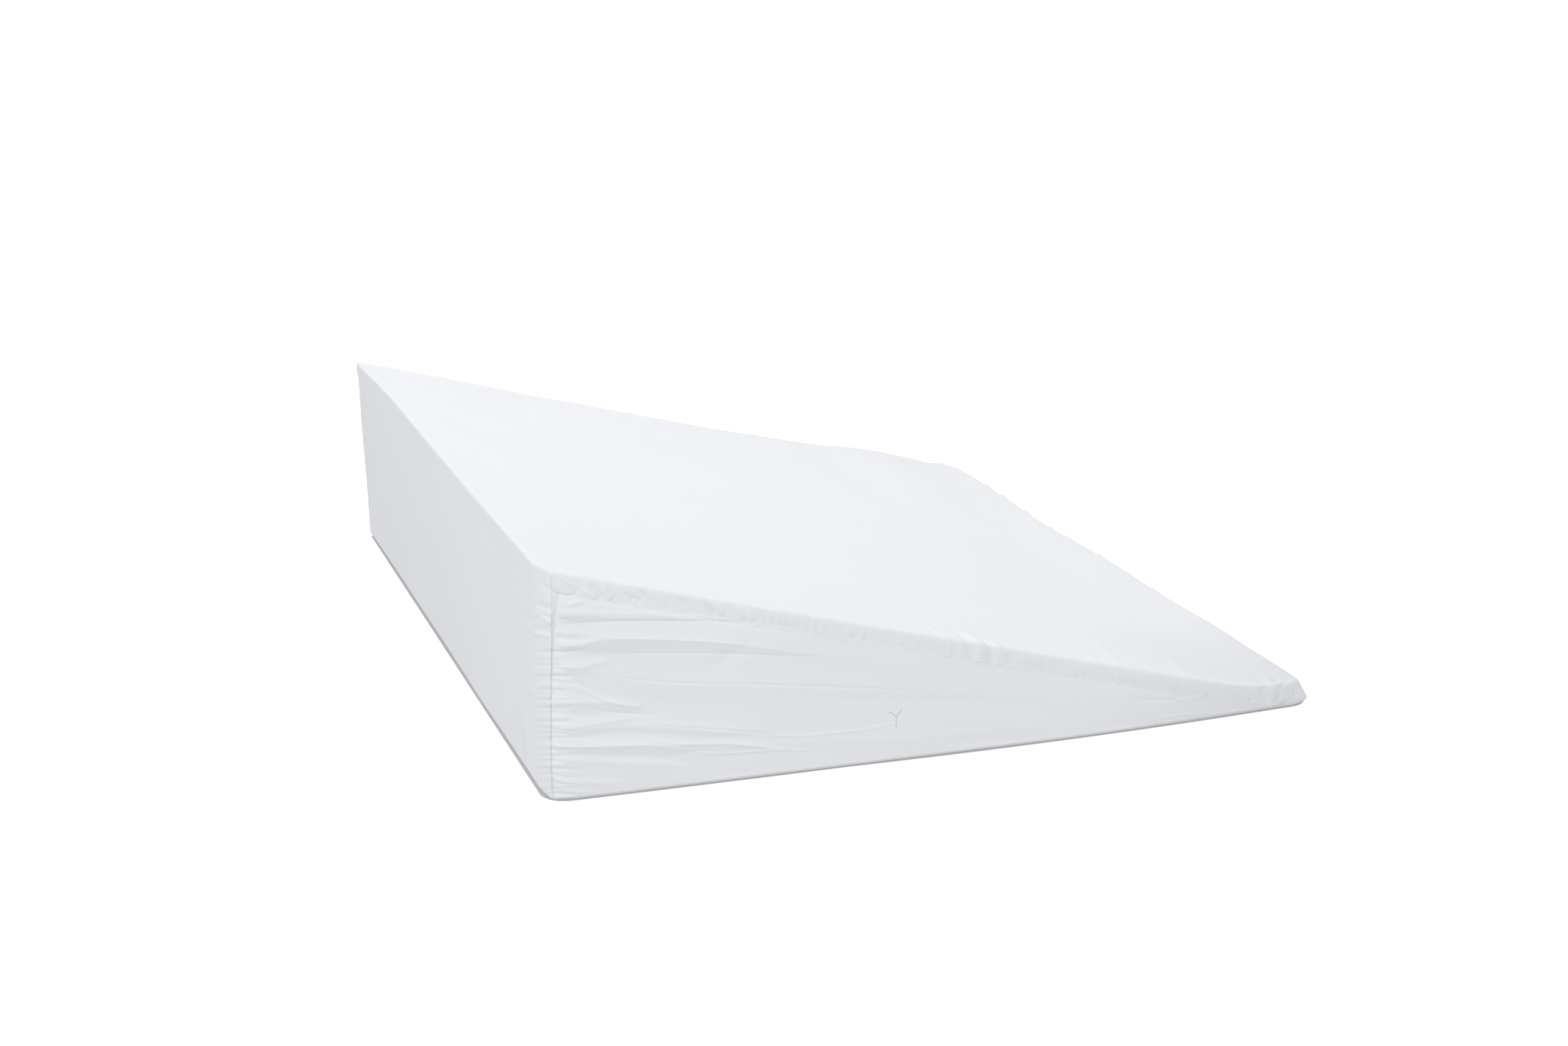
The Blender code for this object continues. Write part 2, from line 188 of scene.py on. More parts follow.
FAR_FOLDS = [
    {"crest": ((0.0090, 0.1290), (0.0700, 0.1195), (0.1300, 0.1090)),
     "valley": ((0.0090, 0.1220), (0.0700, 0.1160), (0.1300, 0.1086)), "slope": 0.28, "past": 0.0080},
    {"crest": ((0.0080, 0.1130), (0.0600, 0.1060), (0.1400, 0.0900), (0.2100, 0.0740)),
     "valley": ((0.0080, 0.1040), (0.0600, 0.0970), (0.1400, 0.0860), (0.2100, 0.0738)),
     "slope": 0.26, "past": 0.0110},
    {"crest": ((0.0080, 0.0850), (0.0400, 0.0800), (0.0750, 0.0700)),
     "valley": ((0.0080, 0.0890), (0.0400, 0.0825), (0.0750, 0.0702)), "slope": 0.22, "past": 0.0040},
    {"crest": ((0.0070, 0.0780), (0.0800, 0.0680), (0.1800, 0.0480), (0.3100, 0.0260)),
     "valley": ((0.0070, 0.0690), (0.0800, 0.0580), (0.1800, 0.0430), (0.3100, 0.0258)),
     "slope": 0.17, "past": 0.0110},
    {"crest": ((0.0060, 0.0590), (0.0450, 0.0530), (0.0900, 0.0410)),
     "valley": ((0.0060, 0.0530), (0.0450, 0.0485), (0.0900, 0.0408)), "slope": 0.24, "past": 0.0050},
    {"crest": ((0.0060, 0.0440), (0.0600, 0.0380), (0.1500, 0.0220)),
     "valley": ((0.0060, 0.0390), (0.0600, 0.0320), (0.1500, 0.0218)), "slope": 0.24, "past": 0.0060},
    {"crest": ((0.0060, 0.0210), (0.0500, 0.0160), (0.1000, 0.0090)),
     "valley": ((0.0060, 0.0250), (0.0500, 0.0195), (0.1000, 0.0094)), "slope": 0.26, "past": 0.0060},
    {"crest": ((0.0060, 0.0120), (0.0300, 0.0080), (0.0550, 0.0050)),
     "valley": ((0.0060, 0.0090), (0.0300, 0.0055), (0.0550, 0.0046)), "slope": 0.20, "past": 0.0030},
]
FOLD_EASE = 0.004        # the fold lines' corners are rounded over this length
FOLD_RUN_IN = 0.006      # a fold rises out of the seam over this length
FOLD_EDGE = 0.00035      # how rounded its crest and valley are
FOLD_STRENGTH = 1.2

# Creases of the near side that run on over its seams, in the same plane as the folds
NEAR_CREASES = [
    # the hood of cloth over the top corner, and the seam under it
    {"path": ((0.0113, 0.1554), (0.0176, 0.1502), (0.0231, 0.1458)), "spread": 0.0008, "rise": 0.0007},
    {"path": ((0.0013, 0.1542), (0.0013, 0.1504), (0.0052, 0.1469), (0.0113, 0.1438)), "spread": 0.0014, "rise": -0.0006},
    {"path": ((0.0085, 0.1455), (0.0120, 0.1430), (0.0174, 0.1414), (0.0248, 0.1414)), "spread": 0.0008, "rise": -0.0009},
    {"path": ((0.0231, 0.1451), (0.0267, 0.1429), (0.0298, 0.1398), (0.0322, 0.1381)), "spread": 0.0010, "rise": -0.0005},
    {"path": ((0.0262, 0.1447), (0.0323, 0.1406), (0.0378, 0.1371)), "spread": 0.0022, "rise": 0.0008},
    {"path": ((0.0324, 0.1471), (0.0379, 0.1426), (0.0402, 0.1370)), "spread": 0.0012, "rise": -0.0005},
    {"path": ((0.0405, 0.1458), (0.0448, 0.1403), (0.0469, 0.1350)), "spread": 0.0020, "rise": 0.0009},
    {"path": ((0.0412, 0.1479), (0.0461, 0.1427)), "spread": 0.0009, "rise": 0.0006},
    {"path": ((0.0154, 0.1361), (0.0210, 0.1361), (0.0285, 0.1372)), "spread": 0.0014, "rise": 0.0009},
    # the strip between the sloping seam and the edge
    {"path": ((0.0554, 0.1386), (0.0610, 0.1351), (0.0670, 0.1324)), "spread": 0.0014, "rise": -0.0010},
    {"path": ((0.0663, 0.1410), (0.0707, 0.1357), (0.0737, 0.1305)), "spread": 0.0013, "rise": -0.0011},
    {"path": ((0.0904, 0.1327), (0.0994, 0.1254)), "spread": 0.0016, "rise": -0.0008},
    {"path": ((0.1103, 0.1285), (0.1142, 0.1220), (0.1184, 0.1161)), "spread": 0.0013, "rise": -0.0010},
    {"path": ((0.1130, 0.1285), (0.1193, 0.1215), (0.1221, 0.1166)), "spread": 0.0018, "rise": 0.0009},
    {"path": ((0.1313, 0.1226), (0.1349, 0.1171), (0.1377, 0.1127)), "spread": 0.0018, "rise": 0.0009},
    {"path": ((0.1399, 0.1184), (0.1417, 0.1145), (0.1432, 0.1110)), "spread": 0.0014, "rise": 0.0008},
    {"path": ((0.1544, 0.1169), (0.1553, 0.1075)), "spread": 0.0013, "rise": 0.0007},
    {"path": ((0.1609, 0.1152), (0.1618, 0.1059)), "spread": 0.0013, "rise": 0.0007},
    {"path": ((0.1655, 0.1129), (0.1665, 0.1048)), "spread": 0.0011, "rise": 0.0006},
    {"path": ((0.1702, 0.1115), (0.1708, 0.1040)), "spread": 0.0011, "rise": 0.0006},
    {"path": ((0.1740, 0.1101), (0.1745, 0.1027)), "spread": 0.0011, "rise": 0.0006},
    {"path": ((0.1862, 0.1070), (0.1866, 0.0985)), "spread": 0.0014, "rise": 0.0006},
    {"path": ((0.1938, 0.1043), (0.1942, 0.0962)), "spread": 0.0014, "rise": 0.0005},
    {"path": ((0.2014, 0.1025), (0.2018, 0.0941)), "spread": 0.0014, "rise": 0.0005},
    {"path": ((0.2119, 0.0995), (0.2123, 0.0916)), "spread": 0.0014, "rise": 0.0005},
    {"path": ((0.2224, 0.0969), (0.2229, 0.0885)), "spread": 0.0014, "rise": 0.0005},
    # slanting creases over the upper end of the upright seam
    {"path": ((-0.0030, 0.1389), (0.0018, 0.1353), (0.0088, 0.1320)), "spread": 0.0020, "rise": -0.0010},
    {"path": ((0.0004, 0.1307), (0.0059, 0.1270), (0.0092, 0.1256)), "spread": 0.0010, "rise": -0.0007},
    {"path": ((-0.0050, 0.1332), (0.0046, 0.1249), (0.0088, 0.1225)), "spread": 0.0018, "rise": 0.0005},
    {"path": ((-0.0054, 0.1215), (-0.0005, 0.1201), (0.0081, 0.1172)), "spread": 0.0022, "rise": -0.0010},
    {"path": ((-0.0055, 0.1181), (0.0013, 0.1170), (0.0074, 0.1154)), "spread": 0.0015, "rise": 0.0009},
    # thin lines among the folds
    {"path": ((0.0114, 0.0953), (0.0225, 0.0822), (0.0329, 0.0746)), "spread": 0.0011, "rise": -0.0006},
    {"path": ((0.0180, 0.0809), (0.0426, 0.0670), (0.0667, 0.0591)), "spread": 0.0014, "rise": 0.0007},
    {"path": ((0.0335, 0.0611), (0.0549, 0.0566), (0.0766, 0.0527)), "spread": 0.0012, "rise": -0.0006},
    {"path": ((0.0511, 0.0447), (0.0727, 0.0355), (0.0909, 0.0309), (0.1279, 0.0266), (0.1655, 0.0172)),
     "spread": 0.0013, "rise": 0.0007},
    {"path": ((0.0982, 0.0232), (0.1204, 0.0196), (0.1655, 0.0170), (0.1865, 0.0129)), "spread": 0.0012, "rise": 0.0006},
    {"path": ((0.4550, 0.0233), (0.4679, 0.0163), (0.4893, 0.0174)), "spread": 0.0012, "rise": 0.0004},
    {"path": ((0.4312, 0.0217), (0.4456, 0.0195), (0.4650, 0.0167)), "spread": 0.0014, "rise": -0.0004},
    {"path": ((0.4396, 0.0043), (0.4685, 0.0053), (0.4940, 0.0036)), "spread": 0.0012, "rise": 0.0004},
    {"path": ((0.1080, 0.0780), (0.1250, 0.0870), (0.1460, 0.0980)), "spread": 0.0060, "rise": -0.0007},
    {"path": ((0.0201, 0.0912), (0.0376, 0.0855), (0.0643, 0.0787), (0.0914, 0.0737), (0.1468, 0.0661),
              (0.2228, 0.0544), (0.2754, 0.0451)), "spread": 0.0010, "rise": -0.00045},
    {"path": ((0.0433, 0.0994), (0.0647, 0.0973), (0.0917, 0.0943), (0.1191, 0.0908), (0.1468, 0.0869),
              (0.1749, 0.0826), (0.1967, 0.0797)), "spread": 0.0009, "rise": -0.0004},
    {"path": ((0.0373, 0.1112), (0.0595, 0.1088), (0.0846, 0.1053), (0.1100, 0.1012), (0.1376, 0.0953)),
     "spread": 0.0009, "rise": 0.0004},
    {"path": ((0.0104, 0.1330), (0.0385, 0.1284), (0.0740, 0.1229), (0.1102, 0.1170), (0.1321, 0.1122)),
     "spread": 0.0009, "rise": 0.0004},
    {"path": ((0.0104, 0.1232), (0.0473, 0.1214), (0.0740, 0.1187), (0.1101, 0.1144), (0.1500, 0.1080)),
     "spread": 0.0010, "rise": -0.0006},
    {"path": ((0.0638, 0.0463), (0.0837, 0.0440), (0.1094, 0.0393), (0.1242, 0.0365), (0.1560, 0.0300)),
     "spread": 0.0009, "rise": -0.0006},
    {"path": ((0.1373, 0.0301), (0.1800, 0.0250), (0.2200, 0.0240), (0.2500, 0.0260)),
     "spread": 0.0010, "rise": 0.0004},
    # pinches at the tip
    {"path": ((0.5404, 0.0343), (0.5447, 0.0274), (0.5461, 0.0171)), "spread": 0.0022, "rise": -0.0010},
    {"path": ((0.5519, 0.0266), (0.5510, 0.0221), (0.5497, 0.0171)), "spread": 0.0014, "rise": 0.0010},
    {"path": ((0.5535, 0.0204), (0.5514, 0.0123)), "spread": 0.0012, "rise": -0.0007},
    {"path": ((0.5576, 0.0167), (0.5528, 0.0137)), "spread": 0.0013, "rise": 0.0008},
]
# Short gathers that cross the near upright seam: height where each starts behind the corner,
# how far forward it goes, and its depth
NEAR_GATHERS = [
    {"from": 0.1060, "to": 0.030, "depth": 0.0010}, {"from": 0.1001, "to": 0.014, "depth": 0.0007},
    {"from": 0.0971, "to": 0.016, "depth": 0.0009}, {"from": 0.0890, "to": 0.018, "depth": 0.0011},
    {"from": 0.0863, "to": 0.013, "depth": 0.0008}, {"from": 0.0800, "to": 0.016, "depth": 0.0010},
    {"from": 0.0770, "to": 0.012, "depth": 0.0007}, {"from": 0.0731, "to": 0.022, "depth": 0.0011},
    {"from": 0.0673, "to": 0.020, "depth": 0.0012}, {"from": 0.0642, "to": 0.012, "depth": 0.0008},
    {"from": 0.0582, "to": 0.020, "depth": 0.0011}, {"from": 0.0537, "to": 0.014, "depth": 0.0009},
    {"from": 0.0500, "to": 0.018, "depth": 0.0011}, {"from": 0.0464, "to": 0.012, "depth": 0.0008},
    {"from": 0.0440, "to": 0.016, "depth": 0.0010}, {"from": 0.0382, "to": 0.014, "depth": 0.0010},
    {"from": 0.0345, "to": 0.012, "depth": 0.0010}, {"from": 0.0308, "to": 0.013, "depth": 0.0010},
    {"from": 0.0253, "to": 0.012, "depth": 0.0008}, {"from": 0.0210, "to": 0.011, "depth": 0.0008},
    {"from": 0.0160, "to": 0.010, "depth": 0.0007}, {"from": 0.0100, "to": 0.012, "depth": 0.0008},
    {"from": 0.0068, "to": 0.022, "depth": 0.0009},
]
GATHER_BEHIND = -0.0066
GATHER_SPREAD = 0.0013
GATHER_DROP = 0.0016
# How far along the wrap panel from its near seam the creases reach, and fade
CREASE_REACH = 0.034
CREASE_FADE = 0.010

# Short wrinkles on the wrap panel. start and end are (x, y) on the slope, with x from the
# back and y from the middle; spread is the half width, rise the height, negative for a dent.
SLOPE_WRINKLES = [
    # across the near edge
    {"start": (0.285, -0.352), "end": (0.279, -0.316), "spread": 0.0030, "rise": 0.0007},
    {"start": (0.300, -0.354), "end": (0.296, -0.322), "spread": 0.0024, "rise": -0.0008},
    {"start": (0.309, -0.356), "end": (0.304, -0.318), "spread": 0.0028, "rise": 0.0014},
    {"start": (0.317, -0.356), "end": (0.312, -0.328), "spread": 0.0022, "rise": -0.0012},
    {"start": (0.326, -0.356), "end": (0.318, -0.334), "spread": 0.0026, "rise": 0.0009},
    {"start": (0.397, -0.352), "end": (0.409, -0.300), "spread": 0.0028, "rise": 0.0005},
    {"start": (0.415, -0.352), "end": (0.433, -0.280), "spread": 0.0032, "rise": 0.0007},
    {"start": (0.446, -0.352), "end": (0.460, -0.295), "spread": 0.0026, "rise": 0.0006},
    {"start": (0.470, -0.352), "end": (0.495, -0.280), "spread": 0.0030, "rise": 0.0008},
    {"start": (0.537, -0.356), "end": (0.545, -0.318), "spread": 0.0030, "rise": -0.0008},
    {"start": (0.546, -0.356), "end": (0.552, -0.322), "spread": 0.0026, "rise": 0.0010},
    {"start": (0.553, -0.356), "end": (0.557, -0.330), "spread": 0.0022, "rise": -0.0008},
    {"start": (0.035, -0.352), "end": (0.008, -0.322), "spread": 0.0024, "rise": 0.0006},
    # across the thin front edge, from its far end to its middle
    {"start": (0.535, 0.326), "end": (0.592, 0.334), "spread": 0.0040, "rise": 0.0012},
    {"start": (0.545, 0.296), "end": (0.590, 0.300), "spread": 0.0036, "rise": 0.0009},
    {"start": (0.533, 0.219), "end": (0.588, 0.231), "spread": 0.0044, "rise": 0.0012},
    {"start": (0.540, 0.196), "end": (0.588, 0.190), "spread": 0.0036, "rise": 0.0012},
    {"start": (0.530, 0.142), "end": (0.590, 0.140), "spread": 0.0046, "rise": 0.0014},
    {"start": (0.536, 0.092), "end": (0.590, 0.082), "spread": 0.0040, "rise": 0.0013},
    {"start": (0.526, 0.044), "end": (0.588, 0.054), "spread": 0.0042, "rise": 0.0011},
    {"start": (0.524, -0.004), "end": (0.584, -0.014), "spread": 0.0046, "rise": 0.0014},
    {"start": (0.528, -0.074), "end": (0.584, -0.064), "spread": 0.0036, "rise": 0.0008},
    {"start": (0.508, -0.138), "end": (0.586, -0.106), "spread": 0.0046, "rise": 0.0013},
    {"start": (0.534, -0.216), "end": (0.582, -0.205), "spread": 0.0040, "rise": 0.0006},
]
# Soft creases low on the tall back, as (y, z) points from the middle and the ground
BACK_WRINKLES = [
    {"start": (-0.300, 0.004), "end": (-0.286, 0.062), "spread": 0.0060, "rise": 0.0008},
    {"start": (-0.236, 0.002), "end": (-0.228, 0.045), "spread": 0.0050, "rise": 0.0006},
    {"start": (-0.120, 0.003), "end": (-0.132, 0.070), "spread": 0.0070, "rise": 0.0007},
    {"start": (0.040, 0.003), "end": (0.030, 0.055), "spread": 0.0060, "rise": 0.0006},
    {"start": (0.190, 0.004), "end": (0.204, 0.080), "spread": 0.0070, "rise": 0.0008},
    {"start": (0.300, 0.150), "end": (0.270, 0.095), "spread": 0.0060, "rise": 0.0009},
    {"start": (-0.335, 0.118), "end": (-0.296, 0.104), "spread": 0.0035, "rise": 0.0006},
    {"start": (-0.335, 0.072), "end": (-0.300, 0.066), "spread": 0.0035, "rise": 0.0005},
]

# Corners where the filled body stands out from the plain wedge
LEANS = [
    {"at": (0.000, 0.3475, 0.155), "push": (-0.0050, 0.0010, 0.0000), "reach": (0.060, 0.110, 0.110)},
    {"at": (0.577, 0.3475, 0.022), "push": (-0.0060, -0.0045, -0.0010), "reach": (0.020, 0.020, 0.030)},
    {"at": (0.000, -0.3475, 0.000), "push": (0.0022, 0.0027, 0.0000), "reach": (0.012, 0.012, 0.014)},
    {"at": (0.400, -0.3475, 0.000), "push": (0.0000, -0.0036, 0.0000), "reach": (0.130, 0.100, 0.045)},
]

# Little tails of cloth that stand out at corners: place and direction from the plain wedge
EARS = [
    {"at": (0.000, 0.3475, 0.158), "push": (-0.0020, 0.0025, -0.0008), "reach": 0.010},
    {"at": (0.576, -0.3460, 0.004), "push": (0.0130, -0.0024, -0.0016), "reach": 0.008},
]

# Tiny dark specks in the cloth: (x, y, z) from the back, the middle and the ground
SPECKS = [(0.388, -0.352, 0.0294), (0.388, -0.352, 0.0020), (0.278, -0.350, 0.0790)]
SPECK_RADIUS = 0.0006
# A short forked hair of lint on the near side, as (x, z) points
HAIR = [((0.2399, 0.0368), (0.2454, 0.0327)), ((0.2454, 0.0327), (0.2493, 0.0374)), ((0.2454, 0.0327), (0.2451, 0.0254))]
HAIR_RADIUS = 0.00022


def camera_place():
    """The camera's place, from the near bottom corner of the back."""
    return np.array(CAMERA_FROM_CORNER) + (BACK_X, -HALF, 0.0)


def smooth_step(t):
    """0 below 0, 1 above 1, and 3t^2 - 2t^3 between, on whole arrays."""
    t = np.clip(t, 0.0, 1.0)
    return t * t * (3.0 - 2.0 * t)


def lattice(index, seed):
    """A fixed random number from 0 to 1 for each whole-numbered index."""
    table = np.random.default_rng(seed).random(1024)
    return table[np.asarray(index).astype(int) % 1024]


def wander(t, seed):
    """Smooth noise from -1 to 1 along t: random values at whole numbers, eased between."""
    base = np.floor(t)
    share = smooth_step(t - base)
    return 2.0 * (lattice(base, seed) * (1 - share) + lattice(base + 1, seed) * share) - 1.0


def drift(u, v, seed):
    """Smooth noise from -1 to 1 over a plane: the same, eased both ways between four corners."""
    i, j = np.floor(u), np.floor(v)
    a, b = smooth_step(u - i), smooth_step(v - j)
    def corner(di, dj):
        return lattice((i + di) * 37 + (j + dj) * 101, seed)
    low = corner(0, 0) * (1 - a) + corner(1, 0) * a
    high = corner(0, 1) * (1 - a) + corner(1, 1) * a
    return 2.0 * (low * (1 - b) + high * b) - 1.0


def eased(t, table, ease):
    """A value read off a table at each t: straight between its points, with rounded corners,
    as the mean of five readings spread over the ease."""
    points = np.array(table)
    offsets = np.linspace(-ease, ease, 5)
    return sum(np.interp(t + offset, points[:, 0], points[:, 1]) for offset in offsets) / len(offsets)


def top_height(x, y):
    """Height of the slope: a tilted plane with its crown and swellings, run out softly into
    the front edge as front + blend * log(1 + exp((plane - front) / blend))."""
    far = smooth_step(y / HALF)
    crown = TOP_CROWN * (1 - (y / HALF) ** 2) * np.sin(np.pi * np.clip(x / LENGTH, 0, 1))
    middle, spread, rise = FAR_SWELL
    lift = FAR_LIFT * np.maximum(0, 1 - x / LENGTH) ** 3 + rise * np.exp(-((x - middle) / spread) ** 2)
    lift = lift + eased(x, FAR_RISE, RISE_EASE)
    plane = HEIGHT * (1 - x / SLOPE_RUN) + crown + lift * far
    front = FRONT_HEIGHT + eased(y, FRONT_RISE, RISE_EASE)
    return front + FRONT_BLEND * np.log1p(np.exp((plane - front) / FRONT_BLEND))


def chord_height(x):
    """Height of the straight line from the top of the back to the top of the front edge."""
    return HEIGHT + (FRONT_HEIGHT - HEIGHT) * x / LENGTH


def drawn_in(name, inward, share):
    """How far a face is drawn in at a distance from the side: a quarter of a superellipse,
    which is an ellipse at power 2 and squarer above that."""
    depth, reach = (size * share for size in TURN[name])
    power = TURN_POWER.get(name, 2.0)
    return depth * (1 - (1 - np.clip(1 - inward / reach, 0, 1) ** power) ** (1 / power))


def soften(x, y, z):
    """Points of the plain wedge moved to where the soft body has them: the sides bow by a
    parabola along the length, the back and the front edge by one across the width."""
    along = np.clip(x / LENGTH, 0, 1)
    middle = 1 - (y / HALF) ** 2
    back = BACK_CROWN * middle * (1 - along) ** 6 * np.sin(np.pi * np.clip(z / HEIGHT, 0, 1))
    front = (FRONT_SKEW * y / HALF + FRONT_BOW * middle) * along ** 3
    bow = SIDE_BOW * 4 * along * (1 - along)
    return np.stack(np.broadcast_arrays(BACK_X + x - back + front, y * (1 + bow / HALF), z), axis=-1)


def lean(points):
    """Corners of the soft body that stand out: each moves its points by push, in a bell whose
    reach differs along x, y and z."""
    moved = points
    for row in LEANS:
        place = np.array(row["at"]) + (BACK_X, 0, 0)
        gap = (points - place) / np.array(row["reach"])
        moved = moved + np.exp(-np.sum(gap ** 2, axis=-1))[..., None] * np.array(row["push"])
    return moved


def unit(vectors):
    """Vectors divided by their lengths."""
    return vectors / np.maximum(np.linalg.norm(vectors, axis=-1, keepdims=True), 1e-12)


def corner_arcs(corner, before, after, radius):
    """Rounded corners for every row at once: a circle's arc between the two tangent points,
    as centre + (first * sin((1 - t) turn) + last * sin(t turn)) / sin(turn)."""
    incoming, outgoing = unit(corner - before), unit(after - corner)
    turn = np.arccos(np.sum(incoming * outgoing, axis=-1))[:, None]
    centre = corner + unit(outgoing - incoming) * radius / np.cos(turn / 2)
    tangent = radius * np.tan(turn / 2)
    first = (corner - incoming * tangent - centre)[:, None]
    last = (corner + outgoing * tangent - centre)[:, None]
    share = np.linspace(0, 1, 2 * ARC_STEPS + 1)[None, :, None]
    turn = turn[:, :, None]
    bent = first * np.sin((1 - share) * turn) + last * np.sin(share * turn)
    return centre[:, None] + bent / np.sin(turn)


def cross_sections(y, inward):
    """The wrap panel's outline in the X-Z plane for each row: four straight sides offset
    inwards by the turn at that row, joined by arcs. Returns x and z, rows by outline."""
    share = np.where(y > 0, FAR_BACK_SHARE, 1.0)
    low = drawn_in("bottom", inward, 1.0)
    front = LENGTH - drawn_in("front", inward, 1.0)
    top = drawn_in("top", inward, 1.0)
    corners = [
        np.stack([drawn_in("back_bottom", inward, share), low], axis=-1),
        np.stack([front, low], axis=-1),
        np.stack([front, chord_height(front) - top], axis=-1),
        np.stack([drawn_in("back_top", inward, share), HEIGHT - top], axis=-1),
    ]
    shrink = SIDE_RADIUS_SHARE + (1 - SIDE_RADIUS_SHARE) * smooth_step(inward / TURN["front"][1])
    arcs = [corner_arcs(corners[k], corners[k - 1], corners[(k + 1) % 4],
                        (CORNER_RADII[k] * shrink)[:, None]) for k in range(4)]
    pieces = []
    for k, steps in enumerate(SECTION_STEPS):
        here, there = arcs[k], arcs[(k + 1) % 4]
        straight = np.linspace(0, 1, steps - 2 * ARC_STEPS + 1)[None, 1:-1, None]
        if k == 2:
            straight = 1 - (1 - straight) ** SLOPE_CROWDING
        pieces.append(here[:, ARC_STEPS:])
        pieces.append(here[:, -1:] * (1 - straight) + there[:, :1] * straight)
        pieces.append(there[:, :ARC_STEPS])
    outline = np.concatenate(pieces, axis=1)
    x, z = outline[..., 0], outline[..., 1]
    return x, z * top_height(x, y[:, None]) / chord_height(x)


def upright_seam(z):
    """Distance of the upright seam from the back: a cubic that leans forward near its top."""
    return SEAM_FROM_BACK + SEAM_LEAN * (np.clip(z, 0, None) / SEAM_TOP) ** 3


def sloping_seam(x, y_side):
    """Height of the seam under the slope. It comes down to the lower seam at the tip."""
    full = top_height(x, y_side) - SEAM_BELOW_TOP - SEAM_ABOVE_GROUND
    return SEAM_ABOVE_GROUND + full * np.clip((SEAM_TIP - x) / SEAM_TIP_TAPER, 0, 1)


def seam_outline(x, z, y_side):
    """Where each point of a side's outline meets the seam: straight across the margin from it."""
    edges = np.cumsum((0,) + SECTION_STEPS)
    lower, front, slope, back = (slice(edges[k], edges[k + 1]) for k in range(4))
    start = upright_seam(SEAM_ABOVE_GROUND)
    corner = upright_seam(SEAM_TOP)
    seam_x, seam_z = np.empty_like(x), np.empty_like(z)
    reach = (x[lower] - x[lower][0]) / (x[front][0] - x[lower][0])
    seam_x[lower] = start + (SEAM_TIP - start) * reach
    seam_z[lower] = SEAM_ABOVE_GROUND
    seam_x[front] = SEAM_TIP
    seam_z[front] = SEAM_ABOVE_GROUND
    reach = (x[slope] - x[back][0]) / (x[slope][0] - x[back][0])
    seam_x[slope] = corner + (SEAM_TIP - corner) * reach
    seam_z[slope] = sloping_seam(seam_x[slope], y_side)
    top = sloping_seam(np.array(corner), y_side)
    reach = (z[back] - z[lower][0]) / (z[back][0] - z[lower][0])
    seam_z[back] = SEAM_ABOVE_GROUND + (top - SEAM_ABOVE_GROUND) * np.clip(reach, 0, 1)
    seam_x[back] = upright_seam(seam_z[back])
    return seam_x, seam_z


def puckers(along, away, spacing, reach, depth, seed, slant=0.0):
    """Small dents square to a seam: narrow troughs at uneven steps along it, each with its own
    depth and length, dying away from the seam as exp(-(away / length)^2)."""
    step = (along + slant * away) / spacing
    step = step + 0.45 * wander(step * 0.55, seed)
    index = np.round(step)
    strength = 0.25 + 0.75 * lattice(index, seed + 1)
    length = reach * (0.45 + 0.9 * lattice(index, seed + 2))
    width = 0.15 + 0.12 * lattice(index, seed + 3)
    trough = np.exp(-((step - index) / width) ** 2)
    return -depth * strength * trough * np.exp(-(away / length) ** 2)


def wrinkles(u, v, rows):
    """Straight soft ridges: each has a bell across it and a half sine along it, with a
    shallower trough beside it."""
    height = np.zeros_like(u)
    for row in rows:
        start, end = np.array(row["start"]), np.array(row["end"])
        run = end - start
        length = np.linalg.norm(run)
        direction = run / length
        along = ((u - start[0]) * direction[0] + (v - start[1]) * direction[1]) / length
        across = ((v - start[1]) * direction[0] - (u - start[0]) * direction[1]) / row["spread"]
        across = across + 0.35 * wander(along * 2.3, int(1000 * abs(start[0])) + 7)
        envelope = np.sin(np.pi * np.clip(along, 0, 1)) ** 0.8
        height += row["rise"] * envelope * (np.exp(-across ** 2) - 0.45 * np.exp(-(across - 1.9) ** 2))
    return height


def folds(x, z, rows):
    """Broad folds: each rises evenly from its valley line to its crest line, with both ends of
    that facet a little rounded, and past the crest it falls away as exp(-distance / past)."""
    height = np.zeros_like(x)
    for row in rows:
        crest, valley = eased(x, row["crest"], FOLD_EASE), eased(x, row["valley"], FOLD_EASE)
        gap = np.where(np.abs(crest - valley) < 1e-5, 1e-5, crest - valley)
        share = (z - valley) / gap
        sharp = np.clip(np.abs(gap) / FOLD_EDGE, 1.0, 16.0)
        flank = (np.logaddexp(0, sharp * share) - np.logaddexp(0, sharp * (share - 1))) / sharp
        past = np.maximum(share - 1, 0) * np.abs(gap) / row["past"]
        first, last = row["crest"][0][0], row["crest"][-1][0]
        ends = smooth_step((x - first) / FOLD_RUN_IN + 0.5) * smooth_step((last - x) / FOLD_RUN_IN + 0.5)
        height += row["slope"] * np.abs(gap) * flank * np.exp(-past) * ends
    return height * FOLD_STRENGTH


def near_path(u, v, path):
    """Distance of each point from a broken line, and how far along the line that is, 0 to 1."""
    points = np.array(path)
    runs = np.diff(points, axis=0)
    lengths = np.linalg.norm(runs, axis=1)
    done = np.concatenate([[0], np.cumsum(lengths)])
    gap, share = np.full(u.shape, 9.0), np.zeros(u.shape)
    for start, run, length, before in zip(points, runs, lengths, done):
        part = np.clip(((u - start[0]) * run[0] + (v - start[1]) * run[1]) / length ** 2, 0, 1)
        distance = np.hypot(u - start[0] - part * run[0], v - start[1] - part * run[1])
        share = np.where(distance < gap, (before + part * length) / done[-1], share)
        gap = np.minimum(gap, distance)
    return gap, share


def creases(u, v, rows):
    """Thin ridges and dents along broken lines: a bell across, and along 1 - |2 share - 1|^4."""
    height = np.zeros_like(u)
    for row in rows:
        gap, share = near_path(u, v, row["path"])
        height += row["rise"] * np.exp(-(gap / row["spread"]) ** 2) * (1 - np.abs(2 * share - 1) ** 4)
    return height


